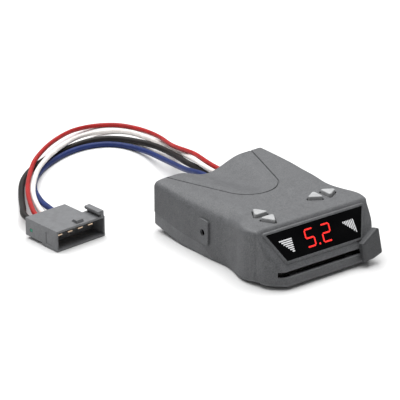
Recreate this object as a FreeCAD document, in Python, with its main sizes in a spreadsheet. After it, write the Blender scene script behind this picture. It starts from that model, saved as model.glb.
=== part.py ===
import FreeCAD, Part
import math
import os
import Sketcher
from FreeCAD import Placement, Rotation, Vector

# Brake controller unit for towing: a moulded two-part case with a leaning display face, four push
# buttons, a manual slide knob, and four wires to a four-way plug.  Millimetres.  The origin is the
# middle of the underside, +Z up, the display faces -Y and the wires leave at +Y.

doc = FreeCAD.newDocument("BrakeController")

# ---------------------------------------------------------------------------------------------
# Driving dimensions
# ---------------------------------------------------------------------------------------------

DIMENSIONS = (
    # case
    ("case_top", 38.7, "flat top above the underside"),
    ("wall", 2.0, "case wall"),
    ("back_face", 66.5, "back face, from the origin"),
    ("back_corner", 3.0, "radius of the back corners"),
    ("side_half", 47.0, "half width of the back and beside the mounting pads"),
    ("waist_place", -12.0, "middle of the waist"),
    ("waist_back", 6.0, "from the pads' front edge back to where the waist starts"),
    ("waist_ahead", 4.0, "from the pads' front edge to the waist's next point"),
    ("waist_deep", 1.0, "how much narrower the case is there"),
    ("waist_front", 11.0, "from the middle of the waist to its front end"),
    ("flare_place", 9.0, "from the pillars back to the middle of the flare"),
    ("flare_wide", 0.6, "how much wider the flare is than the pillars"),
    ("cheek_bulge", 2.5, "how far the cheeks between pillars and lip bulge"),
    ("pillar_half", 50.0, "half width at the front corner pillars"),
    ("pillar_place", -47.0, "front corner pillars"),
    ("lip_round", 3.0, "radius of the lip's upright corners"),
    ("shoulder_round", 3.0, "radius along the top's edges"),
    ("lip_half", 36.7, "half width of the front lip"),
    ("lip_face", -67.4, "front of the lip"),
    ("lip_base", 2.5, "underside of the lip"),
    ("lip_top", 10.9, "where the display face starts to lean"),
    ("face_lean", 33.7, "lean of the display face from upright, degrees"),
    ("top_round", 4.0, "radius between display face and top"),
    ("back_base", 5.5, "underside at the back face"),
    ("flat_front", -30.0, "front end of the flat underside"),
    ("flat_back", 35.0, "back end of the flat underside"),
    ("seam_thin", 1.9, "height of the lower case's edge in front of the pads"),
    ("seam_side", 8.9, "seam height behind the pads"),
    ("seam_back", 15.0, "seam height at the back face"),
    ("lower_inset", 0.45, "how far the lower case sits in from the upper case"),
    ("scoop_depth", 7.4, "scoop over the wires, at the back face"),
    ("scoop_half", 24.0, "half width of the scoop"),
    ("scoop_start", 5.0, "front end of the scoop"),
    # side mounting pads
    ("pad_front", 2.4, "front edge of the side pad"),
    ("pad_back", 14.0, "back edge of the side pad"),
    ("pad_low", 10.4, "bottom of the side pad"),
    ("pad_high", 28.6, "top of the side pad"),
    ("pad_face", 48.0, "outer face of the side pad"),
    ("pad_round", 2.6, "corner radius of the side pad"),
    ("insert_place", 8.4, "middle of the threaded insert, front to back"),
    ("insert_height", 18.9, "middle of the threaded insert, above the underside"),
    ("insert_radius", 3.3, "outside radius of the threaded insert"),
    ("insert_bore", 2.1, "bore radius of the threaded insert"),
    ("insert_length", 8.0, "length of the threaded insert"),
    ("insert_sunk", 1.2, "how far the insert sits below the pad's face"),
    ("insert_relief", 0.35, "how much wider the pad's own hole is than the insert's bore"),
    # slot and knob
    ("slot_left", -39.0, "left end of the slot"),
    ("slot_right", 39.0, "right end of the slot"),
    ("slot_low", 9.5, "lower edge of the slot"),
    ("slot_high", 13.0, "upper edge of the slot"),
    ("slot_deep", 11.0, "how far the slot's tool reaches behind the lip's front"),
    ("knob_left", 27.2, "left edge of the knob"),
    ("knob_wide", 17.6, "width of the knob"),
    ("knob_low", 4.3, "bottom of the knob"),
    ("knob_foot_rise", 2.4, "how much higher the knob's right foot is than its left"),
    ("knob_side_tall", 12.6, "height of the knob's left edge"),
    ("knob_side_lean", 0.3, "how far the top of the knob's left edge is inwards"),
    ("knob_tall", 19.4, "full height of the knob"),
    ("knob_peak", 14.6, "left edge of the knob to its peak"),
    ("knob_peak_wide", 2.4, "width of the knob's peak"),
    ("knob_peak_fall", 0.4, "fall across the knob's peak"),
    ("knob_thick", 2.8, "thickness of the knob"),
    ("knob_lean", 12.0, "lean of the knob, degrees"),
    ("knob_yaw", 3.0, "how far the knob's right end turns back, degrees"),
    ("knob_back", -70.05, "back of the knob at its left foot"),
    ("stem_place", 32.0, "middle of the knob's stem"),
    ("stem_wide", 6.0, "width of the stem"),
    ("stem_low", 9.85, "underside of the stem"),
    ("stem_tall", 2.2, "height of the stem"),
    ("stem_joint", -66.4, "where knob and carriage stems meet"),
    ("stem_front", -71.0, "front end of the knob's stem, inside its plate"),
    # display
    ("lens_low", 9.3, "lens bottom, along the display face from the slot"),
    ("lens_tall", 20.2, "lens height along the display face"),
    ("lens_low_half", 31.1, "half width of the lens bottom"),
    ("lens_high_half", 41.8, "half width of the lens top"),
    ("lens_thick", 1.6, "lens thickness"),
    ("lens_proud", 0.5, "lens front, in front of the display face"),
    ("bezel_rim", 1.7, "width of the raised rim around the lens"),
    ("bezel_proud", 0.9, "height of the raised rim"),
    ("ledge", 1.3, "ledge that the lens rests on"),
    ("module_wide", 25.4, "two-digit display module, width"),
    ("module_tall", 16.0, "display module, height"),
    ("module_deep", 8.0, "display module, depth"),
    ("board_thick", 1.6, "circuit board thickness"),
    ("display_board_wide", 70.0, "display board width"),
    ("display_board_low", 12.6, "display board bottom, along the display face"),
    ("display_board_tall", 19.0, "display board height"),
    # buttons
    ("cap_half", 5.9, "half of a button's base edge"),
    ("cap_long", 9.9, "base edge to tip of a button"),
    ("cap_round", 1.3, "corner radius of a button"),
    ("cap_top", 40.9, "top of the buttons"),
    ("cap_bottom", 35.1, "underside of the button caps"),
    ("cap_gap", 0.55, "gap around a button"),
    ("cap_flange", 1.1, "width of the flange that keeps a button in"),
    ("flange_thick", 1.2, "thickness of that flange"),
    ("left_pair_place", -28.6, "middle of the up and down buttons"),
    ("up_base", -30.9, "base edge of the up button"),
    ("down_base", -36.0, "base edge of the down button"),
    ("right_pair_place", -28.2, "middle of the left and right buttons"),
    ("left_base", 23.0, "base edge of the left button"),
    ("right_base", 28.7, "base edge of the right button"),
    ("keypad_height", 25.6, "underside of the keypad board"),
    ("keypad_half", 34.2, "half width of the keypad board"),
    ("keypad_front", -41.4, "front edge of the keypad board"),
    ("keypad_long", 25.0, "length of the keypad board"),
    ("post_left", -14.0, "left post that holds the keypad board"),
    ("post_right", 5.0, "right post that holds the keypad board"),
    ("post_place", -20.0, "those posts, front to back"),
    ("post_radius", 2.5, "radius of those posts"),
    ("small_screw", 1.2, "board screw radius"),
    ("small_head", 2.3, "board screw head radius"),
    ("small_thick", 1.4, "board screw head thickness"),
    ("small_length", 8.0, "board screw length"),
    ("switch_side", 6.0, "tact switch side"),
    ("switch_tall", 3.5, "tact switch height"),
    ("plunger_radius", 1.7, "tact switch plunger radius"),
    ("plunger_length", 5.4, "tact switch plunger length"),
    ("switch_offset", 0.9, "middle of a switch, from its button's base edge"),
    ("plunger_fit", 0.06, "running clearance around the plunger"),
    # slide potentiometer and return spring
    ("pot_half", 37.5, "half length of the slide potentiometer"),
    ("pot_front", -60.0, "front of the slide potentiometer"),
    ("pot_deep", 8.5, "depth of the slide potentiometer"),
    ("pot_low", 7.4, "underside of the slide potentiometer"),
    ("pot_wall", 1.0, "walls of the slide potentiometer"),
    ("rod_place", -56.0, "guide rod, front to back"),
    ("rod_height", 10.8, "guide rod, above the underside"),
    ("pot_tall", 6.8, "height of the slide potentiometer"),
    ("rod_radius", 1.2, "guide rod radius"),
    ("rod_fit", 0.05, "running clearance between rod and carriage"),
    ("carriage_long", 8.0, "carriage length"),
    ("spring_round", 3.8, "outer radius of the coiled return spring"),
    ("spring_inner", 1.9, "inner radius of the coiled return spring"),
    ("spring_place_x", 38.6, "coiled spring, across"),
    ("spring_place_y", -45.6, "coiled spring, front to back"),
    ("strip_thick", 0.3, "thickness of the spring strip"),
    ("coil_lap", 0.8, "how far the coil reaches below and above its strip"),
    ("post_shaft", 1.5, "radius of the spring's post"),
    ("post_foot", 3.3, "foot of the spring's post"),
    ("post_tall", 10.0, "height of the spring's post"),
    ("collar_radius", 3.2, "radius of the collar below the coil"),
    ("collar_thick", 1.0, "thickness of that collar"),
    ("slider_play", 0.5, "room around the carriage in the slide potentiometer"),
    ("slider_end_room", 0.2, "extra thickness of the slide potentiometer's ends"),
    ("stem_play", 0.45, "room above and below the stem in the slide potentiometer's slot"),
    # main board and what stands on it
    ("main_board_height", 12.0, "underside of the main board"),
    ("main_board_half", 33.5, "half width of the main board"),
    ("main_board_front", -24.0, "front edge of the main board"),
    ("main_board_long", 82.0, "length of the main board"),
    ("boss_x", 38.2, "case screw bosses, across"),
    ("boss_back", 50.0, "rear case screw bosses"),
    ("boss_front", -26.0, "front case screw bosses"),
    ("boss_radius", 3.6, "case screw boss radius"),
    ("screw_radius", 1.45, "case screw radius"),
    ("screw_head", 2.8, "case screw head radius"),
    ("screw_length", 16.0, "case screw length"),
    ("head_thick", 1.1, "case screw head thickness"),
    ("seat_front", 1.25, "height that the front screw heads bear on"),
    ("seat_back", 3.8, "height that the rear screw heads bear on"),
    ("standoff_x", 26.0, "main board standoffs, across"),
    ("standoff_front", -16.0, "front main board standoffs"),
    ("standoff_back", 46.0, "rear main board standoffs"),
    ("standoff_radius", 3.0, "main board standoff radius"),
    ("chip_side", 10.0, "microcontroller side"),
    ("chip_tall", 1.4, "microcontroller height"),
    ("sensor_side", 5.0, "motion sensor side"),
    ("relay_long", 15.5, "relay length"),
    ("relay_wide", 11.5, "relay width"),
    ("relay_tall", 12.0, "relay height"),
    ("capacitor_radius", 5.0, "capacitor radius"),
    ("capacitor_tall", 13.0, "capacitor height"),
    ("sink_long", 26.0, "heat sink length"),
    ("sink_tall", 15.0, "heat sink height"),
    ("fin_deep", 8.0, "heat sink fin depth"),
    ("fin_thick", 1.2, "heat sink fin thickness"),
    ("sink_thick", 2.0, "heat sink plate thickness"),
    ("transistor_wide", 10.0, "power transistor width"),
    ("transistor_tall", 15.0, "power transistor tab height"),
    ("transistor_case", 9.0, "power transistor case height"),
    ("tab_thick", 1.3, "power transistor tab thickness"),
    ("transistor_thick", 3.2, "power transistor case thickness"),
    ("sensor_tall", 1.2, "motion sensor height"),
    ("sink_left", -32.0, "left end of the heat sink"),
    ("sink_place", 30.0, "front of the heat sink"),
    ("can_place", 17.5, "first capacitor, front to back"),
    ("can_pitch", 11.5, "from one capacitor to the next"),
    ("can_across", 18.0, "capacitors, across"),
    ("ribbon_wide", 16.0, "ribbon cable width"),
    # wires
    ("red_width", 3.5, "red wire diameter"),
    ("white_width", 3.6, "white wire diameter"),
    ("black_width", 4.6, "black wire diameter"),
    ("blue_width", 4.2, "blue wire diameter"),
    ("grommet_left", 0.0, "left side of the wire grommet"),
    ("grommet_wide", 19.2, "width of the wire grommet"),
    ("grommet_low", 19.2, "bottom of the wire grommet"),
    ("grommet_tall", 12.2, "height of the wire grommet at its right end"),
    ("grommet_short", 10.0, "height of the wire grommet at its left end"),
    ("grommet_flange", 1.1, "flange of the wire grommet"),
    ("grommet_out", 3.0, "how far the grommet stands out of the back face"),
    ("grommet_lap", 0.6, "how far the grommet's flanges lap over the case"),
    ("collar_foot", 0.9, "thickness of the collars around the wires, at the grommet"),
    ("collar_rim", 0.5, "thickness of those collars at their ends"),
    ("collar_sink", 0.1, "how far the collars run into the grommet"),
    # plug
    ("plug_x", -123.0, "front left corner of the plug, across"),
    ("plug_y", 75.0, "front left corner of the plug, front to back"),
    ("plug_yaw", 5.0, "turn of the plug on the table, degrees"),
    ("plug_wide", 43.0, "plug width at its mouth"),
    ("plug_main", 35.5, "width of the plug's main body"),
    ("plug_long", 35.0, "plug length"),
    ("plug_tall", 15.5, "plug height"),
    ("plug_wall", 1.3, "plug wall"),
    ("mouth_deep", 13.0, "depth of the plug's mouth"),
    ("rail_long", 15.5, "length of the plug's rail"),
    ("rail_tall", 4.4, "how far the rail stands above the plug"),
    ("rail_thick", 2.8, "thickness of the rail's wall"),
    ("rail_place", 3.6, "left side of the rail's wall, in from the plug's right side"),
    ("rail_cap_wide", 5.2, "width of the rail's cap"),
    ("rail_cap_place", 6.0, "left side of the rail's cap, in from the plug's right side"),
    ("rail_cap_thick", 2.6, "thickness of the rail's cap"),
    ("catch_place", 19.5, "left side of the catch"),
    ("catch_front", 1.5, "front of the catch"),
    ("catch_wide", 6.0, "width of the catch"),
    ("catch_long", 7.0, "length of the catch"),
    ("catch_tall", 2.0, "height of the catch"),
    ("rear_rise", 2.4, "how far the rear of the plug is clear of the table"),
    ("rear_start", 1.0, "from the end of the rail back to where the plug rises"),
    ("lock_place", 27.0, "front of the terminal lock"),
    ("lock_height", 6.2, "underside of the terminal lock"),
    ("lock_deep", 3.0, "terminal lock, front to back"),
    ("lock_tall", 2.6, "terminal lock height"),
    ("lock_long", 33.6, "terminal lock length"),
    ("lock_side", 0.4, "terminal lock, in from the plug's left side"),
    ("lock_nose", 0.3, "how far the lock's nose stands out of it"),
    ("lock_step", 0.4, "how much smaller the nose is than the lock, all round"),
    ("blade_wide", 4.0, "blade width"),
    ("blade_thick", 0.8, "blade thickness"),
    ("blade_height", 10.6, "underside of the blades"),
    ("blade_long", 21.0, "blade length"),
    ("blade_front", 3.0, "front ends of the blades"),
    ("blade_first", 3.2, "left side of the first blade"),
    ("blade_pitch", 9.0, "from one blade to the next"),
    ("entry_height", 8.6, "middle of the wire entries"),
    ("entry_run", 7.6, "straight last stretch of each wire, behind the plug"),
)

sheet = doc.addObject("Spreadsheet::Sheet", "Sizes")
for row, (alias, number, note) in enumerate(DIMENSIONS, start=1):
    sheet.set(f"A{row}", note)
    sheet.set(f"B{row}", str(number))
    sheet.setAlias(f"B{row}", alias)
doc.recompute()


def size(alias):
    """A driving dimension's number."""
    return float(sheet.get(alias))


nodes = []


def keep(piece, label):
    """Name a finished sub-part, so that it is checked and written."""
    piece.Label = label
    nodes.append(piece)
    return piece


def put(piece, x="0", y="0", z="0", turn=None):
    """Place a piece; each coordinate is a formula on the sheet."""
    piece.Placement = Placement(Vector(), turn or Rotation())
    for axis, formula in (("x", x), ("y", y), ("z", z)):
        piece.setExpression(f"Placement.Base.{axis}", formula)
    return piece


def block(name, length, width, height, x, y, z):
    """A box whose sizes and corner are formulas on the sheet."""
    box = doc.addObject("Part::Box", name)
    box.setExpression("Length", length)
    box.setExpression("Width", width)
    box.setExpression("Height", height)
    return put(box, x, y, z)


def pin(name, radius, length, x, y, z, turn=None):
    """A cylinder whose sizes and foot are formulas on the sheet."""
    cylinder = doc.addObject("Part::Cylinder", name)
    cylinder.setExpression("Radius", radius)
    cylinder.setExpression("Height", length)
    return put(cylinder, x, y, z, turn)


def fuse(name, *pieces):
    joined = doc.addObject("Part::MultiFuse", name)
    joined.Shapes = list(pieces)
    return joined


def cut(name, base, tool):
    result = doc.addObject("Part::Cut", name)
    result.Base = base
    result.Tool = tool
    return result


def group(name, *pieces):
    """Identical separate solids that share one sub-part."""
    together = doc.addObject("Part::Compound", name)
    together.Links = list(pieces)
    return together


def outline_sketch(body, name, corners, role="XY_Plane"):
    """A closed polygon; each corner is a pair of formulas, held by dimensions from the origin."""
    sketch = body.newObject("Sketcher::SketchObject", name)
    plane = next(f for f in body.Origin.OriginFeatures if f.Role == role)
    sketch.AttachmentSupport = [(plane, "")]
    sketch.MapMode = "FlatFace"
    count = len(corners)
    start = [
        Vector(10 * math.cos(math.tau * i / count), 10 * math.sin(math.tau * i / count), 0)
        for i in range(count)
    ]
    for i in range(count):
        sketch.addGeometry(Part.LineSegment(start[i], start[(i + 1) % count]), False)
    for i in range(count):
        sketch.addConstraint(Sketcher.Constraint("Coincident", i, 2, (i + 1) % count, 1))
    for i, corner in enumerate(corners):
        for kind, axis, formula in zip(("DistanceX", "DistanceY"), (-2, -1), corner):
            if formula == "0":
                sketch.addConstraint(Sketcher.Constraint("PointOnObject", i, 1, axis))
                continue
            number = sketch.addConstraint(Sketcher.Constraint(kind, -1, 1, i, 1, 1.0))
            sketch.setExpression(f"Constraints[{number}]", formula)
    return sketch


def pad_body(name, corners, length):
    """A body made by padding a polygon upwards."""
    body = doc.addObject("PartDesign::Body", name)
    sketch = outline_sketch(body, f"{name}_outline", corners)
    pad = body.newObject("PartDesign::Pad", f"{name}_pad")
    pad.Profile = sketch
    pad.setExpression("Length", length)
    doc.recompute()
    return body, pad


def round_edges(body, feature, radius, choose):
    """Fillet the edges of a body's feature that choose() picks."""
    edges = [f"Edge{i}" for i, edge in enumerate(feature.Shape.Edges, start=1) if choose(edge)]
    fillet = body.newObject("PartDesign::Fillet", f"{feature.Name}_round")
    fillet.Base = (feature, edges)
    fillet.setExpression("Radius", radius)
    doc.recompute()
    return fillet


def upright(edge):
    low, high = edge.Vertexes[0].Point, edge.Vertexes[-1].Point
    return abs(low.z - high.z) > 0.5 and (low - high).cross(Vector(0, 0, 1)).Length < 0.01


def at_height(height):
    return lambda edge: all(abs(vertex.Z - height) < 0.01 for vertex in edge.Vertexes)


# ---------------------------------------------------------------------------------------------
# Case surfaces, from formulas
# ---------------------------------------------------------------------------------------------

REACH = 60.0    # half length of a cutting prism, wider than the case


def mirrored(shape):
    return shape.mirror(Vector(), Vector(1, 0, 0))


def arc_onwards(start, heading, end):
    """An arc from start, leaving along heading, to end; and the heading it ends with."""
    chord = end - start
    half = math.atan2(heading.x * chord.y - heading.y * chord.x, heading.dot(chord))
    sagitta = chord.Length / 2 * math.tan(half / 2)
    middle = (start + end) * 0.5 + Vector(chord.y, -chord.x, 0).normalize() * sagitta
    turn = Rotation(Vector(0, 0, 1), math.degrees(2 * half))
    return Part.Arc(start, middle, end), turn.multVec(heading)


# An inset outline keeps its wall even by moving the corners in a little more or less than the walls.
PILLAR_MITRE = 0.297
LIP_MITRE = 0.542
WAIST_EASE = 0.2


def case_outline(inset):
    """The case's plan, set in from its outside: tapered sides, a waist and flared front corners."""
    corner = size("back_corner") - inset
    back = size("back_face") - inset
    half = size("side_half") - inset
    pillar = size("pillar_place")
    side = [
        Vector(half, back - corner, 0),
        Vector(half, size("pad_front") + size("waist_back"), 0),
        Vector(half - size("waist_deep"), size("pad_front") - size("waist_ahead"), 0),
        Vector(half - WAIST_EASE, size("waist_place") - size("waist_front"), 0),
        Vector(size("pillar_half") + size("flare_wide") - inset, pillar + size("flare_place"), 0),
        Vector(size("pillar_half") - inset, pillar + PILLAR_MITRE * inset, 0),
    ]
    lip = Vector(size("lip_half") - LIP_MITRE * inset, size("lip_face") + inset, 0)
    cheek = lip - side[-1]
    outward = Vector(-cheek.y, cheek.x, 0).normalize() * size("cheek_bulge")
    shoulder = half - corner
    middle = Vector(shoulder + corner * math.sqrt(0.5), back - corner + corner * math.sqrt(0.5), 0)
    edges = [
        Part.LineSegment(Vector(0, back, 0), Vector(shoulder, back, 0)),
        Part.Arc(Vector(shoulder, back, 0), middle, side[0]),
        Part.LineSegment(side[0], side[1]),
    ]
    heading = (side[1] - side[0]).normalize()
    for start, end in zip(side[1:], side[2:]):
        arc, heading = arc_onwards(start, heading, end)
        edges.append(arc)
    middle_cheek = (side[-1] + lip) * 0.5 + outward
    edges.append(Part.LineSegment(side[-1], middle_cheek))
    edges.append(Part.LineSegment(middle_cheek, lip))
    edges.append(Part.LineSegment(lip, Vector(0, lip.y, 0)))
    right = [edge.toShape() for edge in edges]
    left = [mirrored(edge) for edge in right]
    return Part.Wire(Part.__sortEdges__(right + left))


def case_block(inset):
    return Part.Face(case_outline(inset)).extrude(Vector(0, 0, size("case_top") - inset))


def scoop(grow):
    """The round scoop over the wires: a cylinder that dips towards the back face."""
    half, depth = size("scoop_half"), size("scoop_depth")
    radius = (half * half + depth * depth) / (2 * depth)
    run = size("back_face") - size("scoop_start")
    tilt = math.atan2(depth, run)
    along = Vector(0, math.cos(tilt), -math.sin(tilt))
    outward = Vector(0, math.sin(tilt), math.cos(tilt))
    foot = Vector(0, size("scoop_start"), size("case_top")) + outward * radius - along * 60
    return Part.makeCylinder(radius + grow, 200, foot, along)


def side_prism(edges):
    """A prism right across the case from a closed outline in the YZ plane."""
    face = Part.Face(Part.Wire(edges))
    face.translate(Vector(-REACH, 0, 0))
    return face.extrude(Vector(2 * REACH, 0, 0))


def polyline(points):
    return [
        Part.LineSegment(Vector(0, *a), Vector(0, *b)).toShape() for a, b in zip(points, points[1:])
    ]


def face_point(along, inward=0.0):
    """(y, z) of a place on the display face: along it from the lip top, and into the case."""
    lean = math.radians(size("face_lean"))
    y = size("lip_face") + along * math.sin(lean) + inward * math.cos(lean)
    z = size("lip_top") + along * math.cos(lean) - inward * math.sin(lean)
    return y, z


def ahead_of_face(inward):
    """Everything in front of the display face and above its rounded upper edge."""
    lean = math.radians(size("face_lean"))
    radius = max(size("top_round") - inward, 0.5)
    top = size("case_top") - inward
    reach = (top - face_point(0, inward)[1]) / math.cos(lean)
    corner_y, corner_z = face_point(reach, inward)
    tangent = radius * math.tan((math.pi / 2 - lean) / 2)
    lower_y = corner_y - tangent * math.sin(lean)
    lower_z = corner_z - tangent * math.cos(lean)
    bend = (math.pi / 2 - lean) / 2
    centre_y, centre_z = corner_y + tangent, corner_z - radius
    middle_y = centre_y - radius * math.sin(bend)
    middle_z = centre_z + radius * math.cos(bend)
    foot_y, foot_z = face_point(-0.001, inward)
    arc = Part.Arc(
        Vector(0, lower_y, lower_z), Vector(0, middle_y, middle_z), Vector(0, corner_y + tangent, corner_z)
    ).toShape()
    outside = [
        (corner_y + tangent, corner_z),
        (corner_y + tangent, corner_z + 20),
        (foot_y - 40, corner_z + 20),
        (foot_y - 40, foot_z),
        (foot_y, foot_z),
        (lower_y, lower_z),
    ]
    return side_prism([arc] + polyline(outside))


def underside(raised):
    """Everything under the underside, after raising it."""
    line = [
        (-80.0, size("lip_base") + raised),
        (size("pillar_place"), size("lip_base") + raised),
        (size("flat_front"), raised),
        (size("flat_back"), raised),
        (size("back_face") + 10, size("back_base") * 1.3 + raised),
        (size("back_face") + 10, -20.0),
        (-80.0, -20.0),
        (-80.0, size("lip_base") + raised),
    ]
    return side_prism(polyline(line))


def below_seam():
    """Everything under the line where the two halves of the case meet."""
    thin = size("seam_thin")
    front = [
        (-80.0, size("lip_base") + thin),
        (size("pillar_place"), size("lip_base") + thin),
        (size("flat_front"), thin),
        (size("pad_front") - 4, thin),
    ]
    rise = size("seam_back") - size("seam_side")
    back = [
        front[-1],
        (size("pad_front") + 3, size("seam_side") * 0.55),
        (size("pad_back") - 2, size("seam_side") * 0.98),
        (size("pad_back") + 12, size("seam_side") + rise * 0.14),
        (size("back_face") - 20, size("seam_side") + rise * 0.55),
        (size("back_face") + 8, size("seam_back") + rise * 0.25),
    ]
    curve = Part.BSplineCurve()
    curve.interpolate([Vector(0, *point) for point in back])
    close = [back[-1], (back[-1][0], -20.0), (-80.0, -20.0), front[0]]
    return side_prism(polyline(front) + [curve.toShape()] + polyline(close))


def triangle_prism(half, long, radius, low, high):
    """A rounded triangle, base edge on y = 0 and tip towards +Y, between two heights."""
    corners = [Vector(-half, 0, low), Vector(half, 0, low), Vector(0, long, low)]
    prism = Part.Face(Part.makePolygon(corners + corners[:1])).extrude(Vector(0, 0, high - low))
    upright_edges = [edge for edge in prism.Edges if upright(edge)]
    return prism.makeFillet(radius, upright_edges)


BUTTONS = (
    # name, base middle as formulas, turn about Z in degrees
    ("up", "Sizes.left_pair_place", "Sizes.up_base", 0),
    ("down", "Sizes.left_pair_place", "Sizes.down_base", 180),
    ("left", "Sizes.left_base", "Sizes.right_pair_place", 90),
    ("right", "Sizes.right_base", "Sizes.right_pair_place", -90),
)


def button_centre(x_formula, y_formula, turn):
    """Numbers for a button's base middle."""
    x = size(x_formula.replace("Sizes.", ""))
    y = size(y_formula.replace("Sizes.", ""))
    return Placement(Vector(x, y, 0), Rotation(Vector(0, 0, 1), turn))


def bezel(grow, low, high):
    """The lens's trapezium, grown, between two depths of the display face (positive inwards)."""
    bottom, top = size("lens_low"), size("lens_low") + size("lens_tall")
    slope = (size("lens_high_half") - size("lens_low_half")) / size("lens_tall")
    side = grow * math.hypot(1, slope)
    corners = []
    for along, half in (
        (bottom - grow, size("lens_low_half") - slope * grow + side),
        (top + grow, size("lens_high_half") + slope * grow + side),
    ):
        y, z = face_point(along, low)
        corners.append((half, y, z))
    (low_half, low_y, low_z), (high_half, high_y, high_z) = corners
    ring = [
        Vector(-low_half, low_y, low_z),
        Vector(low_half, low_y, low_z),
        Vector(high_half, high_y, high_z),
        Vector(-high_half, high_y, high_z),
    ]
    depth = Vector(0, *face_point(0, high)) - Vector(0, *face_point(0, low))
    return Part.Face(Part.makePolygon(ring + ring[:1])).extrude(depth)


def boss_places():
    for y in (size("boss_back"), size("boss_front")):
        for x in (-size("boss_x"), size("boss_x")):
            yield x, y


def side_pad(side, low, high):
    """The mounting pad's rounded block between two distances from the middle plane."""
    front, back = size("pad_front"), size("pad_back")
    bottom, top = size("pad_low"), size("pad_high")
    prism = Part.makeBox(high - low, back - front, top - bottom, Vector(low, front, bottom))
    level = [edge for edge in prism.Edges if abs(edge.Vertexes[0].X - edge.Vertexes[-1].X) > 0.5]
    prism = prism.makeFillet(size("pad_round"), level)
    return prism if side > 0 else prism.mirror(Vector(), Vector(1, 0, 0))


def insert_hole(side, radius, start, length):
    foot = Vector(side * start, size("insert_place"), size("insert_height"))
    return Part.makeCylinder(radius, length, foot, Vector(-side, 0, 0))


def make_upper_case():
    outer = case_block(0)
    top = size("case_top")
    lips = [edge for edge in outer.Edges if upright(edge) and edge.Vertexes[0].Y < size("lip_face") + 0.5]
    outer = outer.makeFillet(size("lip_round"), lips)
    level = [edge for edge in outer.Edges if at_height(top)(edge)]
    rims = [edge for edge in level if edge.BoundBox.YMax > size("pillar_place") + 1]
    outer = outer.makeFillet(size("shoulder_round"), rims)
    outer = outer.cut(ahead_of_face(0)).cut(scoop(0)).cut(below_seam())
    rim = bezel(size("bezel_rim"), -size("bezel_proud"), 0.2)
    pads = [side_pad(side, size("side_half") - 9.5, size("pad_face")) for side in (-1, 1)]
    solid = outer.fuse([rim] + pads)
    keep_solid = [side_pad(side, size("side_half") - 10.5, size("pad_face")) for side in (-1, 1)]
    for x, y in boss_places():
        keep_solid.append(Part.makeCylinder(size("boss_radius"), 60, Vector(x, y, 0)))
    for x in (size("post_left"), size("post_right")):
        foot = Vector(x, size("post_place"), size("keypad_height") + size("board_thick"))
        keep_solid.append(Part.makeCylinder(size("post_radius"), 30, foot))
    wall = size("wall")
    cavity = case_block(wall).cut([ahead_of_face(wall), scoop(wall)] + keep_solid)
    shell = solid.cut(cavity)
    openings = [bezel(0.0, -5.0, size("lens_thick") - size("lens_proud"))]
    openings.append(bezel(-size("ledge"), -5.0, 8.0))
    slot = Part.makeBox(
        size("slot_right") - size("slot_left"),
        size("slot_deep") + 3,
        size("slot_high") - size("slot_low"),
        Vector(size("slot_left"), size("lip_face") - 3, size("slot_low")),
    )
    openings.append(slot)
    for name, x, y, turn in BUTTONS:
        gap = size("cap_gap")
        hole = triangle_prism(
            size("cap_half") + 1.76 * gap, size("cap_long") + 2.95 * gap, size("cap_round"), 28, 50
        )
        hole.Placement = button_centre(x, y, turn).multiply(Placement(Vector(0, -gap, 0), Rotation()))
        openings.append(hole)
        grow = size("cap_flange") + gap
        room = triangle_prism(
            size("cap_half") + 1.76 * grow,
            size("cap_long") + 2.95 * grow,
            0.4,
            size("cap_bottom") - 3,
            size("cap_bottom") + size("flange_thick") + 0.2,
        )
        room.Placement = button_centre(x, y, turn).multiply(Placement(Vector(0, -grow, 0), Rotation()))
        openings.append(room)
    for side in (-1, 1):
        sunk = size("pad_face") - size("insert_sunk")
        openings.append(insert_hole(side, size("insert_radius"), sunk, size("insert_length")))
        mouth = size("insert_bore") + size("insert_relief")
        openings.append(insert_hole(side, mouth, size("pad_face") + 1, size("insert_length") + 4))
    for x, y in boss_places():
        reach = size("screw_length") + 5
        openings.append(Part.makeCylinder(size("screw_radius") + 0.05, reach, Vector(x, y, 0)))
    for x in (size("post_left"), size("post_right")):
        foot = Vector(x, size("post_place"), size("keypad_height"))
        openings.append(Part.makeCylinder(size("small_screw") + 0.05, 8, foot))
    left, right = size("grommet_left"), size("grommet_left") + size("grommet_wide")
    low, place = size("grommet_low"), size("back_face") - 6
    corners = [
        Vector(left, place, low),
        Vector(right, place, low),
        Vector(right, place, low + size("grommet_tall")),
        Vector(left, place, low + size("grommet_short")),
    ]
    openings.append(Part.Face(Part.makePolygon(corners + corners[:1])).extrude(Vector(0, 10, 0)))
    return shell.cut(openings)


def standoff_places():
    for y in (size("standoff_front"), size("standoff_back")):
        for x in (-size("standoff_x"), size("standoff_x")):
            yield x, y


def screw_seat(y):
    return size("seat_front") if y < 0 else size("seat_back")


def make_lower_case():
    outer = case_block(size("lower_inset")).common(below_seam()).cut(underside(0))
    cavity = case_block(size("wall") + 0.3).cut(underside(size("wall")))
    rests = []
    for x in (-24.0, 24.0):
        foot = Vector(x - 3, size("pot_front"), size("pot_low") - 4)
        rests.append(Part.makeBox(6, size("pot_deep"), 4, foot))
    for x, y in standoff_places():
        tall = size("main_board_height") - 1
        rests.append(Part.makeCylinder(size("standoff_radius"), tall, Vector(x, y, 1)))
    for x, y in boss_places():
        if y > 0:
            column = Part.makeCylinder(size("boss_radius"), 30, Vector(x, y, 3.5))
            rests.append(column.common(below_seam()))
    body = outer.cut(cavity).fuse(rests).removeSplitter()
    holes = [Part.makeCylinder(size("small_screw"), 9, Vector(x, y, 3.4)) for x, y in standoff_places()]
    for x, y in boss_places():
        seat = screw_seat(y)
        holes.append(Part.makeCylinder(size("screw_radius") + 0.1, 20, Vector(x, y, seat)))
        holes.append(Part.makeCylinder(size("screw_head") + 0.2, 9, Vector(x, y, seat - 9)))
    post = Vector(size("spring_place_x"), size("spring_place_y"), size("post_foot"))
    holes.append(Part.makeCylinder(size("post_shaft"), 20, post))
    return body.cut(holes)


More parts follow.
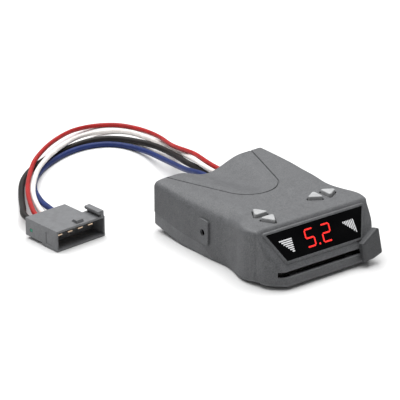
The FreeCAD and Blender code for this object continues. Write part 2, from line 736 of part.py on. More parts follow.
# ---------------------------------------------------------------------------------------------
# Case halves and what fastens them
# ---------------------------------------------------------------------------------------------


def shaped(label, shape):
    """A sub-part whose shape is made by the functions above."""
    piece = doc.addObject("Part::Feature", label)
    piece.Shape = shape
    return keep(piece, label)


shaped("upper_case", make_upper_case())
shaped("lower_case", make_lower_case())


def screw(name, radius, length, head, thick, x, y, z, upward=True):
    """A screw whose head bears at z, with its shaft going up, or down."""
    shaft_z = z if upward else f"{z} - {length}"
    head_z = f"{z} - {thick}" if upward else z
    shaft = pin(f"{name}_shaft", radius, length, x, y, shaft_z)
    cap = pin(f"{name}_head", head, thick, x, y, head_z)
    return fuse(name, shaft, cap)


screws = []
for end in ("front", "back"):
    for side, sign in (("left", "-"), ("right", "")):
        screws.append(
            screw(
                f"{end}_{side}_screw",
                "Sizes.screw_radius",
                "Sizes.screw_length",
                "Sizes.screw_head",
                "Sizes.head_thick",
                f"{sign}Sizes.boss_x",
                f"Sizes.boss_{end}",
                f"Sizes.seat_{end}",
            )
        )
keep(group("case_screw_group", *screws), "case_screws")

inserts = []
for side in (-1, 1):
    turn = Rotation(Vector(0, 1, 0), -90 * side)
    start = f"{side} * (Sizes.pad_face - Sizes.insert_sunk)"
    place = (start, "Sizes.insert_place", "Sizes.insert_height", turn)
    body = pin(f"insert_body_{side + 1}", "Sizes.insert_radius", "Sizes.insert_length", *place)
    bore = pin(f"insert_bore_{side + 1}", "Sizes.insert_bore", "Sizes.insert_length", *place)
    inserts.append(cut(f"insert_{side + 1}", body, bore))
keep(group("insert_group", *inserts), "mount_inserts")

# ---------------------------------------------------------------------------------------------
# Display: lens, module and board, all parallel to the leaning face
# ---------------------------------------------------------------------------------------------


def on_face(piece, x, along, out):
    """Lay a piece on the display face: local Y runs up the face and local Z points out of it."""
    turn = Rotation(Vector(1, 0, 0), 90 - size("face_lean"))
    lean = "Sizes.face_lean"
    y = f"Sizes.lip_face + ({along}) * sin({lean}) - ({out}) * cos({lean})"
    z = f"Sizes.lip_top + ({along}) * cos({lean}) + ({out}) * sin({lean})"
    return put(piece, x, y, z, turn)


lens_corners = [
    ("-Sizes.lens_low_half", "0"),
    ("Sizes.lens_low_half", "0"),
    ("Sizes.lens_high_half", "Sizes.lens_tall"),
    ("-Sizes.lens_high_half", "Sizes.lens_tall"),
]
lens, lens_pad = pad_body("lens", lens_corners, "Sizes.lens_thick")
on_face(lens, "0", "Sizes.lens_low", "Sizes.lens_proud - Sizes.lens_thick")
keep(lens, "display_lens")

module_low = "(Sizes.lens_low + (Sizes.lens_tall - Sizes.module_tall) / 2)"
module_back = "(-Sizes.wall - 0.1 - Sizes.module_deep)"
module = block("module", "Sizes.module_wide", "Sizes.module_tall", "Sizes.module_deep", "0", "0", "0")
on_face(module, "-Sizes.module_wide / 2", module_low, module_back)
keep(module, "display_module")

board = block(
    "display_board_box",
    "Sizes.display_board_wide",
    "Sizes.display_board_tall",
    "Sizes.board_thick",
    "0",
    "0",
    "0",
)
on_face(
    board, "-Sizes.display_board_wide / 2", "Sizes.display_board_low", f"{module_back} - Sizes.board_thick"
)
keep(board, "display_board")

# ---------------------------------------------------------------------------------------------
# Push buttons, their switches and the keypad board
# ---------------------------------------------------------------------------------------------

keypad = block(
    "keypad",
    "2 * Sizes.keypad_half",
    "Sizes.keypad_long",
    "Sizes.board_thick",
    "-Sizes.keypad_half",
    "Sizes.keypad_front",
    "Sizes.keypad_height",
)
keypad_holes = [
    pin(f"keypad_hole_{side}", "Sizes.small_screw", "10", f"Sizes.post_{side}", "Sizes.post_place", "20")
    for side in ("left", "right")
]
keep(cut("keypad_drilled", keypad, fuse("keypad_holes", *keypad_holes)), "keypad_board")

keypad_screws = [
    screw(
        f"keypad_screw_{side}",
        "Sizes.small_screw",
        "Sizes.small_length",
        "Sizes.small_head",
        "Sizes.small_thick",
        f"Sizes.post_{side}",
        "Sizes.post_place",
        "Sizes.keypad_height",
    )
    for side in ("left", "right")
]
keep(group("keypad_screw_group", *keypad_screws), "keypad_screws")


def triangle_corners(grow):
    """A button's outline grown by a formula: base edge below, tip above."""
    return [
        (f"-(Sizes.cap_half + 1.76 * {grow})", f"-{grow}"),
        (f"Sizes.cap_half + 1.76 * {grow}", f"-{grow}"),
        ("0", f"Sizes.cap_long + 1.95 * {grow}"),
    ]


def make_button(name):
    """A triangular cap with a flange below the case top."""
    cap, pad = pad_body(f"{name}_cap", triangle_corners("0"), "Sizes.cap_top - Sizes.cap_bottom")
    corners = round_edges(cap, pad, "Sizes.cap_round", upright)
    top = size("cap_top") - size("cap_bottom")
    round_edges(cap, corners, "0.7", at_height(top))
    flange = outline_sketch(cap, f"{name}_flange_outline", triangle_corners("Sizes.cap_flange"))
    flange_pad = cap.newObject("PartDesign::Pad", f"{name}_flange")
    flange_pad.Profile = flange
    flange_pad.setExpression("Length", "Sizes.flange_thick")
    cap.Tip = flange_pad
    return cap


switches = []
for name, base_x, base_y, turn in BUTTONS:
    spin = Rotation(Vector(0, 0, 1), turn)
    button = put(make_button(name), base_x, base_y, "Sizes.cap_bottom", spin)
    keep(button, f"{name}_button")
    step = spin.multVec(Vector(0, 1, 0))
    middle_x = f"{base_x} + {round(step.x)} * Sizes.switch_offset"
    middle_y = f"{base_y} + {round(step.y)} * Sizes.switch_offset"
    foot = "Sizes.cap_bottom - Sizes.plunger_length"
    plunger = pin(f"{name}_stem", "Sizes.plunger_radius", "Sizes.plunger_length", middle_x, middle_y, foot)
    keep(plunger, f"{name}_plunger")
    case = block(
        f"{name}_switch_case",
        "Sizes.switch_side",
        "Sizes.switch_side",
        "Sizes.switch_tall",
        f"{middle_x} - Sizes.switch_side / 2",
        f"{middle_y} - Sizes.switch_side / 2",
        "Sizes.keypad_height + Sizes.board_thick",
    )
    well = pin(
        f"{name}_switch_well",
        "Sizes.plunger_radius + Sizes.plunger_fit",
        "8",
        middle_x,
        middle_y,
        f"{foot} - 1.1",
    )
    switches.append(cut(f"{name}_switch", case, well))
keep(group("switch_group", *switches), "key_switches")

# ---------------------------------------------------------------------------------------------
# Manual slide: knob, carriage, slide potentiometer, guide rod and return spring
# ---------------------------------------------------------------------------------------------

knob_corners = [
    ("0", "0"),
    ("Sizes.knob_wide", "Sizes.knob_foot_rise"),
    ("Sizes.knob_peak + Sizes.knob_peak_wide", "Sizes.knob_tall - Sizes.knob_peak_fall"),
    ("Sizes.knob_peak", "Sizes.knob_tall"),
    ("Sizes.knob_side_lean", "Sizes.knob_side_tall"),
]
plate, plate_pad = pad_body("knob_plate", knob_corners, "Sizes.knob_thick")
plate_corners = round_edges(plate, plate_pad, "0.9", upright)
round_edges(plate, plate_corners, "0.7", at_height(size("knob_thick")))
knob_turn = Rotation(Vector(0, 0, 1), size("knob_yaw")).multiply(
    Rotation(Vector(1, 0, 0), 90 - size("knob_lean"))
)
put(plate, "Sizes.knob_left", "Sizes.knob_back", "Sizes.knob_low", knob_turn)
hub = block(
    "knob_hub",
    "Sizes.stem_wide",
    "Sizes.stem_joint - Sizes.stem_front",
    "Sizes.stem_tall",
    "Sizes.stem_place - Sizes.stem_wide / 2",
    "Sizes.stem_front",
    "Sizes.stem_low",
)
keep(fuse("knob", plate, hub), "manual_knob")

pot_back = "(Sizes.pot_front + Sizes.pot_deep)"
carriage_left = "Sizes.stem_place - Sizes.carriage_long / 2"
slider = block(
    "slider",
    "Sizes.carriage_long",
    "Sizes.pot_deep - 2 * Sizes.pot_wall - 2 * Sizes.slider_play",
    "Sizes.pot_tall - 2 * Sizes.pot_wall - 2 * Sizes.slider_play",
    carriage_left,
    "Sizes.pot_front + Sizes.pot_wall + Sizes.slider_play",
    "Sizes.pot_low + Sizes.pot_wall + Sizes.slider_play",
)
stem = block(
    "slider_stem",
    "Sizes.stem_wide",
    "Sizes.pot_front + Sizes.pot_wall + 1 - Sizes.stem_joint",
    "Sizes.stem_tall",
    "Sizes.stem_place - Sizes.stem_wide / 2",
    "Sizes.stem_joint",
    "Sizes.stem_low",
)
tab_back = "(Sizes.spring_place_y - Sizes.spring_round + 0.6)"
tab = block(
    "slider_tab",
    "Sizes.carriage_long",
    f"{tab_back} - {pot_back} + Sizes.pot_wall + 1",
    "Sizes.stem_tall",
    carriage_left,
    f"{pot_back} - Sizes.pot_wall - 1",
    "Sizes.stem_low",
)
along_x = Rotation(Vector(0, 1, 0), 90)
rod_line = ("Sizes.rod_place", "Sizes.rod_height", along_x)
rod_hole = pin("rod_hole", "Sizes.rod_radius + Sizes.rod_fit", "20", f"{carriage_left} - 5", *rod_line)
keep(cut("carriage", fuse("carriage_body", slider, stem, tab), rod_hole), "slider_carriage")

pot = block(
    "pot",
    "2 * Sizes.pot_half",
    "Sizes.pot_deep",
    "Sizes.pot_tall",
    "-Sizes.pot_half",
    "Sizes.pot_front",
    "Sizes.pot_low",
)
pot_room = block(
    "pot_room",
    "2 * (Sizes.pot_half - Sizes.pot_wall - Sizes.slider_end_room)",
    "Sizes.pot_deep - 2 * Sizes.pot_wall",
    "Sizes.pot_tall - 2 * Sizes.pot_wall",
    "-(Sizes.pot_half - Sizes.pot_wall - Sizes.slider_end_room)",
    "Sizes.pot_front + Sizes.pot_wall",
    "Sizes.pot_low + Sizes.pot_wall",
)
pot_slot = block(
    "pot_slot",
    "2 * (Sizes.pot_half - Sizes.pot_wall - Sizes.slider_end_room)",
    "Sizes.pot_deep + 4",
    "Sizes.stem_tall + 2 * Sizes.stem_play",
    "-(Sizes.pot_half - Sizes.pot_wall - Sizes.slider_end_room)",
    "Sizes.pot_front - 2",
    "Sizes.stem_low - Sizes.stem_play",
)
rod_seat = pin("rod_seat", "Sizes.rod_radius", "2 * Sizes.pot_half + 4", "-Sizes.pot_half - 2", *rod_line)
keep(cut("pot_body", pot, fuse("pot_hollow", pot_room, pot_slot, rod_seat)), "slide_pot_body")

rod = pin("rod", "Sizes.rod_radius", "2 * Sizes.pot_half", "-Sizes.pot_half", *rod_line)
keep(rod, "guide_rod")

coil_height = "Sizes.stem_low - Sizes.coil_lap"
coil_tall = "Sizes.stem_tall + 2 * Sizes.coil_lap"
coil_spot = ("Sizes.spring_place_x", "Sizes.spring_place_y", coil_height)
coil = pin("coil", "Sizes.spring_round", coil_tall, *coil_spot)
coil_hole = pin("coil_hole", "Sizes.spring_inner", coil_tall, *coil_spot)
strip = block(
    "spring_strip",
    f"Sizes.spring_place_x - ({carriage_left} + Sizes.carriage_long)",
    "Sizes.strip_thick",
    "Sizes.stem_tall",
    f"{carriage_left} + Sizes.carriage_long",
    "Sizes.spring_place_y - Sizes.spring_round",
    "Sizes.stem_low",
)
keep(fuse("spring", cut("spring_coil", coil, coil_hole), strip), "return_spring")
post_spot = ("Sizes.spring_place_x", "Sizes.spring_place_y")
spring_shaft = pin("spring_shaft", "Sizes.post_shaft", "Sizes.post_tall", *post_spot, "Sizes.post_foot")
spring_collar = pin(
    "spring_collar",
    "Sizes.collar_radius",
    "Sizes.collar_thick",
    *post_spot,
    f"{coil_height} - Sizes.collar_thick",
)
keep(fuse("spring_post", spring_shaft, spring_collar), "spring_pin")

# ---------------------------------------------------------------------------------------------
# Main board and what stands on it
# ---------------------------------------------------------------------------------------------

BOARD_TOP = "(Sizes.main_board_height + Sizes.board_thick)"

board_plate = block(
    "main_plate",
    "2 * Sizes.main_board_half",
    "Sizes.main_board_long",
    "Sizes.board_thick",
    "-Sizes.main_board_half",
    "Sizes.main_board_front",
    "Sizes.main_board_height",
)
board_holes, board_screws = [], []
for end in ("front", "back"):
    for side, sign in (("left", "-"), ("right", "")):
        spot = (f"{sign}Sizes.standoff_x", f"Sizes.standoff_{end}")
        board_holes.append(pin(f"board_hole_{end}_{side}", "Sizes.small_screw", "10", *spot, "8"))
        board_screws.append(
            screw(
                f"board_screw_{end}_{side}",
                "Sizes.small_screw",
                "Sizes.small_length",
                "Sizes.small_head",
                "Sizes.small_thick",
                *spot,
                BOARD_TOP,
                upward=False,
            )
        )
keep(cut("main_drilled", board_plate, fuse("main_holes", *board_holes)), "main_board")
keep(group("board_screw_group", *board_screws), "board_screws")

keep(
    block("chip", "Sizes.chip_side", "Sizes.chip_side", "Sizes.chip_tall", "-9", "-12", BOARD_TOP),
    "microcontroller",
)
keep(
    block("sensor", "Sizes.sensor_side", "Sizes.sensor_side", "Sizes.sensor_tall", "12", "-10", BOARD_TOP),
    "motion_sensor",
)
keep(
    block("relay_box", "Sizes.relay_long", "Sizes.relay_wide", "Sizes.relay_tall", "-31", "12.5", BOARD_TOP),
    "relay",
)
cans = [
    pin(
        f"can_{i}",
        "Sizes.capacitor_radius",
        "Sizes.capacitor_tall",
        "Sizes.can_across",
        f"Sizes.can_place + {i} * Sizes.can_pitch",
        BOARD_TOP,
    )
    for i in range(2)
]
keep(group("capacitor_group", *cans), "capacitors")

sink_spot = ("Sizes.sink_left", "Sizes.sink_place", BOARD_TOP)
sink_plate = block("sink_plate", "Sizes.sink_long", "Sizes.sink_thick", "Sizes.sink_tall", *sink_spot)
FINS = 6
fins = [
    block(
        f"fin_{i}",
        "Sizes.fin_thick",
        "Sizes.fin_deep",
        "Sizes.sink_tall",
        f"Sizes.sink_left + {i} * (Sizes.sink_long - Sizes.fin_thick) / {FINS - 1}",
        "Sizes.sink_place + Sizes.sink_thick",
        BOARD_TOP,
    )
    for i in range(FINS)
]
keep(fuse("sink", sink_plate, *fins), "heat_sink")

transistors = []
for i in range(2):
    x = f"Sizes.sink_left + 1 + {i} * (Sizes.transistor_wide + 2)"
    tab_place = "Sizes.sink_place - Sizes.tab_thick"
    tab_plate = block(
        f"transistor_tab_{i}",
        "Sizes.transistor_wide",
        "Sizes.tab_thick",
        "Sizes.transistor_tall",
        x,
        tab_place,
        BOARD_TOP,
    )
    tab_case = block(
        f"transistor_case_{i}",
        "Sizes.transistor_wide",
        "Sizes.transistor_thick",
        "Sizes.transistor_case",
        x,
        f"{tab_place} - Sizes.transistor_thick",
        BOARD_TOP,
    )
    transistors.append(fuse(f"transistor_{i}", tab_plate, tab_case))
keep(group("transistor_group", *transistors), "power_transistors")

# The flat cable's section in the YZ plane: from the display board's back down to the main board.
ribbon_corners = [
    ("-47.6", "19.4"),
    ("-42.6", "16.2"),
    ("-31.0", "18.2"),
    ("-21.0", "18.2"),
    ("-21.0", BOARD_TOP),
    ("-20.2", BOARD_TOP),
    ("-20.2", "19.0"),
    ("-31.1", "19.0"),
    ("-42.4", "17.1"),
    ("-47.1", "20.1"),
]
ribbon, ribbon_pad = pad_body("ribbon", ribbon_corners, "Sizes.ribbon_wide")
put(ribbon, "-Sizes.ribbon_wide / 2", turn=Rotation(Vector(1, 1, 1), 120))
keep(ribbon, "ribbon_cable")

# ---------------------------------------------------------------------------------------------
# Plug, in its own frame: its mouth faces -Y, its left lower front corner is the origin
# ---------------------------------------------------------------------------------------------

PLUG_TURN = Rotation(Vector(0, 0, 1), size("plug_yaw"))
WIRE_ENTRIES = {"black": 9.3, "red": 16.8, "white": 23.0, "blue": 31.0}


def on_table(piece):
    """Move a finished plug piece from the plug's frame to where the plug lies."""
    return put(piece, "Sizes.plug_x", "Sizes.plug_y", "0", PLUG_TURN)


main = block("plug_main_body", "Sizes.plug_main", "Sizes.plug_long", "Sizes.plug_tall", "0", "0", "0")
wing = block(
    "plug_wing",
    "Sizes.plug_wide - Sizes.plug_main",
    "Sizes.rail_long",
    "Sizes.plug_tall",
    "Sizes.plug_main",
    "0",
    "0",
)
rail_wall = block(
    "rail_wall",
    "Sizes.rail_thick",
    "Sizes.rail_long",
    "Sizes.rail_tall",
    "Sizes.plug_wide - Sizes.rail_place",
    "0",
    "Sizes.plug_tall",
)
rail_cap = block(
    "rail_cap",
    "Sizes.rail_cap_wide",
    "Sizes.rail_long",
    "Sizes.rail_cap_thick",
    "Sizes.plug_wide - Sizes.rail_cap_place",
    "0",
    "Sizes.plug_tall + Sizes.rail_tall - Sizes.rail_cap_thick",
)
catch = block(
    "catch",
    "Sizes.catch_wide",
    "Sizes.catch_long",
    "Sizes.catch_tall",
    "Sizes.catch_place",
    "Sizes.catch_front",
    "Sizes.plug_tall",
)
mouth = block(
    "mouth",
    "Sizes.plug_wide - 2 * Sizes.plug_wall",
    "Sizes.mouth_deep + 1",
    "Sizes.plug_tall - 2 * Sizes.plug_wall",
    "Sizes.plug_wall",
    "-1",
    "Sizes.plug_wall",
)
step = block(
    "rear_step",
    "2 * Sizes.plug_wide",
    "Sizes.plug_long",
    "2 * Sizes.rear_rise",
    "-Sizes.plug_wide / 2",
    "Sizes.rail_long + Sizes.rear_start",
    "-Sizes.rear_rise",
)
lock_room = block(
    "lock_room",
    "Sizes.lock_long + Sizes.lock_side + 1",
    "Sizes.lock_deep",
    "Sizes.lock_tall",
    "-1",
    "Sizes.lock_place",
    "Sizes.lock_height",
)


def blade(name, i):
    """One blade's bar; the same bar cuts its room in the housing."""
    return block(
        f"{name}_{i}",
        "Sizes.blade_wide",
        "Sizes.blade_long",
        "Sizes.blade_thick",
        f"Sizes.blade_first + {i} * Sizes.blade_pitch",
        "Sizes.blade_front",
        "Sizes.blade_height",
    )


blade_rooms = [blade("blade_room", i) for i in range(4)]
hollow = fuse("plug_hollow", mouth, step, lock_room, *blade_rooms)
housing = cut("housing", fuse("plug_solid", main, wing, rail_wall, rail_cap, catch), hollow)
keep(on_table(housing), "plug_housing")
blades = [blade("blade", i) for i in range(4)]
keep(on_table(group("blade_group", *blades)), "plug_blades")
lock_bar = block(
    "lock_bar",
    "Sizes.lock_long",
    "Sizes.lock_deep",
    "Sizes.lock_tall",
    "Sizes.lock_side",
    "Sizes.lock_place",
    "Sizes.lock_height",
)
lock_nose = block(
    "lock_nose",
    "2 * Sizes.lock_nose",
    "Sizes.lock_deep - 2 * Sizes.lock_step",
    "Sizes.lock_tall - 2 * Sizes.lock_step",
    "Sizes.lock_side - Sizes.lock_nose",
    "Sizes.lock_place + Sizes.lock_step",
    "Sizes.lock_height + Sizes.lock_step",
)
keep(on_table(fuse("lock", lock_bar, lock_nose)), "terminal_lock")

# ---------------------------------------------------------------------------------------------
# Wires, their grommet and the leads inside the case
# ---------------------------------------------------------------------------------------------

EXIT_Y = size("back_face") + size("grommet_out")
WIRE_EXITS = {
    "red": Vector(16.0, EXIT_Y, 28.4),
    "white": Vector(10.3, EXIT_Y, 28.0),
    "blue": Vector(3.6, EXIT_Y, 26.4),
    "black": Vector(12.6, EXIT_Y, 23.0),
}


def plug_entry(colour, behind):
    """A place on the plug's wire entry line, some way behind its back face."""
    spot = Vector(WIRE_ENTRIES[colour], size("plug_long") + behind, size("entry_height"))
    return PLUG_TURN.multVec(spot) + Vector(size("plug_x"), size("plug_y"), 0)


# Each route runs from the grommet down to the table, round, and back to the plug.
WIRE_ROUTES = {
    "red": [
        (16.0, 80.5, 28.4),
        (19.5, 95.5, 27.0),
        (26.0, 115.5, 24.2),
        (30.5, 133.0, 20.2),
        (35.5, 151.5, 15.6),
        (42.5, 170.0, 10.8),
        (52.0, 194.5, 6.4),
        (56.0, 217.5, 3.2),
        (54.8, 233.0, 1.75),
        (48.5, 245.5, 1.75),
        (37.5, 253.2, 1.75),
        (22.5, 254.5, 3.0),
        (3.5, 248.5, 5.6),
        (-22.0, 234.5, 7.2),
        (-41.5, 220.5, 7.2),
        (-54.5, 209.0, 7.2),
        (-66.0, 195.5, 7.2),
        (-80.5, 177.0, 7.2),
        (-91.0, 161.0, 7.2),
        (-98.8, 146.0, 7.4),
        (-104.6, 134.0, 8.0),
        (-108.2, 126.3, 8.5),
    ],
    "white": [
        (10.3, 79.0, 28.0),
        (14.0, 91.5, 26.4),
        (20.0, 108.0, 23.2),
        (26.0, 122.0, 19.2),
        (33.5, 139.5, 14.4),
        (41.0, 155.5, 9.8),
        (47.5, 171.0, 5.6),
        (50.5, 188.5, 2.6),
        (50.8, 209.0, 1.8),
        (48.8, 223.0, 1.8),
        (43.5, 232.5, 1.8),
        (35.0, 238.3, 1.8),
        (22.0, 240.0, 3.0),
        (3.5, 235.0, 5.8),
        (-16.0, 225.5, 7.2),
        (-33.5, 215.5, 7.2),
        (-46.5, 206.5, 7.2),
        (-60.5, 194.5, 7.2),
        (-72.0, 181.0, 7.2),
        (-83.5, 166.0, 7.2),
        (-92.5, 150.0, 7.4),
        (-99.0, 135.0, 8.0),
        (-102.2, 126.0, 8.5),
    ],
    "black": [
        (12.6, 77.5, 23.0),
        (15.0, 88.5, 21.8),
        (18.0, 102.0, 19.4),
        (22.5, 121.5, 16.2),
        (29.5, 139.0, 12.4),
        (36.0, 158.0, 8.6),
        (40.5, 183.0, 5.2),
        (39.0, 203.5, 2.8),
        (33.5, 216.5, 2.3),
        (25.5, 224.5, 2.3),
        (15.5, 229.0, 2.3),
        (1.0, 229.5, 2.3),
        (-20.0, 225.2, 2.3),
        (-44.0, 216.0, 2.3),
        (-62.0, 205.0, 2.3),
        (-76.5, 191.5, 2.3),
        (-90.0, 171.5, 2.4),
        (-99.5, 155.5, 3.6),
        (-107.0, 142.5, 5.8),
        (-113.0, 133.3, 7.6),
        (-116.3, 126.0, 8.4),
    ],
    "blue": [
        (3.6, 76.0, 26.4),
        (4.5, 85.0, 24.8),
        (7.0, 97.5, 21.4),
        (12.0, 113.5, 17.2),
        (18.5, 133.0, 12.6),
        (24.5, 154.5, 8.2),
        (29.5, 180.0, 4.4),
        (29.0, 198.0, 2.4),
        (24.0, 210.0, 2.1),
        (15.5, 218.0, 2.1),
        (0.0, 222.5, 2.1),
        (-20.5, 219.6, 2.1),
        (-46.5, 207.0, 2.1),
        (-62.5, 194.0, 2.1),
        (-73.5, 180.0, 2.1),
        (-79.5, 169.0, 2.4),
        (-84.5, 157.0, 3.8),
        (-89.5, 145.8, 6.0),
        (-93.2, 136.0, 7.8),
        (-94.8, 127.5, 8.5),
    ],
}


def rounded_path(points):
    """Straight runs joined by tangent arcs, each as large as its two runs allow."""
    edges, radii, start = [], [], points[0]
    for before, corner, after in zip(points, points[1:], points[2:]):
        into, out = (before - corner), (after - corner)
        shorter = min(into.Length, out.Length)
        into.normalize()
        out.normalize()
        turn = math.pi - into.getAngle(out)
        trim = 0.45 * shorter
        radius = trim / math.tan(turn / 2)
        first, last = corner + into * trim, corner + out * trim
        inward = (into + out).normalize()
        middle = corner + inward * (radius / math.cos(turn / 2) - radius)
        edges.append(Part.LineSegment(start, first).toShape())
        edges.append(Part.Arc(first, middle, last).toShape())
        radii.append(radius)
        start = last
    edges.append(Part.LineSegment(start, points[-1]).toShape())
    return Part.Wire(edges), radii


def tube(label, points, diameter):
    """A round tube along a rounded path, checked against its section times its length."""
    path, radii = rounded_path(points)
    ring = Part.Wire(Part.makeCircle(diameter / 2, points[0], points[1] - points[0]))
    solid = path.makePipeShell([ring], True, False)
    expected = math.pi * diameter**2 / 4 * path.Length
    print(
        f"{label}: {path.Length:.1f} mm long, smallest radius {min(radii):.1f} mm"
        f" ({min(radii) / diameter:.1f} diameters), volume {solid.Volume / expected:.4f} of expected"
    )
    if abs(solid.Volume / expected - 1) > 0.01:
        raise RuntimeError(f"{label} isn't a plain tube")
    return solid


collars = []
for colour, leaves in WIRE_EXITS.items():
    width = size(f"{colour}_width")
    route = [leaves] + [Vector(*point) for point in WIRE_ROUTES[colour]]
    route += [plug_entry(colour, size("entry_run")), plug_entry(colour, 0.0)]
    shaped(f"wire_{colour}", tube(f"wire_{colour}", route, width))
    collar = doc.addObject("Part::Cone", f"{colour}_collar")
    collar.setExpression("Radius1", f"Sizes.{colour}_width / 2 + Sizes.collar_foot")
    collar.setExpression("Radius2", f"Sizes.{colour}_width / 2 + Sizes.collar_rim")
    collar.setExpression("Height", "Sizes.grommet_out - Sizes.grommet_flange + Sizes.collar_sink")
    put(
        collar,
        f"{leaves.x}",
        "Sizes.back_face + Sizes.grommet_flange - Sizes.collar_sink",
        f"{leaves.z}",
        Rotation(Vector(1, 0, 0), -90),
    )
    collars.append(collar)


def grommet_layer(name, margin, top_margin, thick, place):
    """A plate with the grommet's outline and a margin round it."""
    left, right = f"Sizes.grommet_left - {margin}", f"Sizes.grommet_left + Sizes.grommet_wide + {margin}"
    low = f"Sizes.grommet_low - {margin}"
    corners = [
        (left, low),
        (right, low),
        (right, f"Sizes.grommet_low + Sizes.grommet_tall + {top_margin}"),
        (left, f"Sizes.grommet_low + Sizes.grommet_short + {top_margin}"),
    ]
    layer, layer_pad = pad_body(name, corners, thick)
    return put(layer, "0", f"{place} + {thick}", "0", Rotation(Vector(1, 0, 0), 90))


inner_place = "Sizes.back_face - Sizes.wall - Sizes.grommet_flange"
grommet_layers = [
    grommet_layer("grommet_core", "0", "0", "(Sizes.wall + 2 * Sizes.grommet_flange)", inner_place),
    grommet_layer(
        "grommet_outside", "Sizes.grommet_lap", "Sizes.grommet_lap", "Sizes.grommet_flange", "Sizes.back_face"
    ),
    grommet_layer(
        "grommet_inside", "Sizes.grommet_lap", "-Sizes.grommet_lap / 2", "Sizes.grommet_flange", inner_place
    ),
]
keep(fuse("grommet", *grommet_layers, *collars), "wire_grommet")

LEAD_DROPS = {"red": 40.0, "white": 40.0, "blue": 40.0, "black": 46.0}    # where each reaches the board
LEAD_RUN = 8.0    # front to back, over which a lead turns down
LEAD_FALL = 4.5    # how far it falls over that run
LEAD_SHARE = 0.8    # a lead's diameter as a share of its wire's

inner_y = size("back_face") - size("wall") - size("grommet_flange")
board_top = size("main_board_height") + size("board_thick")
leads = []
for colour, leaves in WIRE_EXITS.items():
    drop = LEAD_DROPS[colour]
    route = [
        Vector(leaves.x, inner_y, leaves.z),
        Vector(leaves.x, drop + LEAD_RUN, leaves.z),
        Vector(leaves.x, drop, leaves.z - LEAD_FALL),
        Vector(leaves.x, drop, board_top),
    ]
    leads.append(tube(f"inner lead {colour}", route, LEAD_SHARE * size(f"{colour}_width")))
shaped("inner_leads", Part.makeCompound(leads))

# ---------------------------------------------------------------------------------------------
# Check everything, then write it
# ---------------------------------------------------------------------------------------------

doc.recompute()
for item in doc.Objects:
    if {"Invalid", "Error"} & set(item.State):
        raise RuntimeError(f"{item.Name} did not compute: {item.State}")

os.makedirs("parts", exist_ok=True)
for piece in nodes:
    shape = piece.Shape
    if shape.isNull() or not shape.isValid() or not shape.Solids:
        raise RuntimeError(f"{piece.Label} has no valid solid")
    shape.exportStep(f"parts/{piece.Label}.step")
    print(f"{piece.Label}: {len(shape.Solids)} solid(s), {shape.Volume:.0f} mm3")
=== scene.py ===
import math

import bmesh
import bpy
from mathutils import Matrix, Vector


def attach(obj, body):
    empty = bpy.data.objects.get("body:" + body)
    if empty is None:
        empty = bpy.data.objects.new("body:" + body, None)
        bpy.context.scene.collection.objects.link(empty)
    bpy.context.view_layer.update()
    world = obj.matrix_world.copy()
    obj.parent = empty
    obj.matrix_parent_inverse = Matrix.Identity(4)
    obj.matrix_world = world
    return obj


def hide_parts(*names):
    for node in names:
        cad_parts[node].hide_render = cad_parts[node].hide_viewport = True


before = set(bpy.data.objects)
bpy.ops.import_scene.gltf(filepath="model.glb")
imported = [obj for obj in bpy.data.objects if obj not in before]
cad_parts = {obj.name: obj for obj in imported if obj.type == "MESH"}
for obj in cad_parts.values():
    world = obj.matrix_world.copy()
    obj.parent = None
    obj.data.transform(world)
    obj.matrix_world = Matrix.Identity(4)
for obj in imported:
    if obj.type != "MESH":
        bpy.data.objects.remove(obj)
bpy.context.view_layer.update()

# Sizes below are in millimetres unless a name says otherwise; MM turns them into metres.
MM = 0.001

# ---------------------------------------------------------------------------------------------
# Camera
# ---------------------------------------------------------------------------------------------

TARGET = Vector((-54.6, 3.0, 46.3)) * MM
AZIMUTH = math.radians(-37.12)
ELEVATION = math.radians(23.07)
DISTANCE = 1.4765

backward = Vector(
    (
        math.sin(AZIMUTH) * math.cos(ELEVATION),
        -math.cos(AZIMUTH) * math.cos(ELEVATION),
        math.sin(ELEVATION),
    )
)
lens_data = bpy.data.cameras.new("camera")
lens_data.sensor_width = 36.0
lens_data.lens = 198.0
lens_data.clip_start = 0.05
camera = bpy.data.objects.new("camera", lens_data)
camera.location = TARGET + backward * DISTANCE
camera.rotation_euler = backward.to_track_quat("Z", "Y").to_euler()
bpy.context.scene.collection.objects.link(camera)
bpy.context.scene.camera = camera

# ---------------------------------------------------------------------------------------------
# Materials
# ---------------------------------------------------------------------------------------------


def srgb(*display):
    """A colour given as 0 to 255 display values, made linear."""
    shares = [value / 255 for value in display]
    return (*(((c + 0.055) / 1.055) ** 2.4 if c > 0.04 else c / 12.92 for c in shares), 1.0)


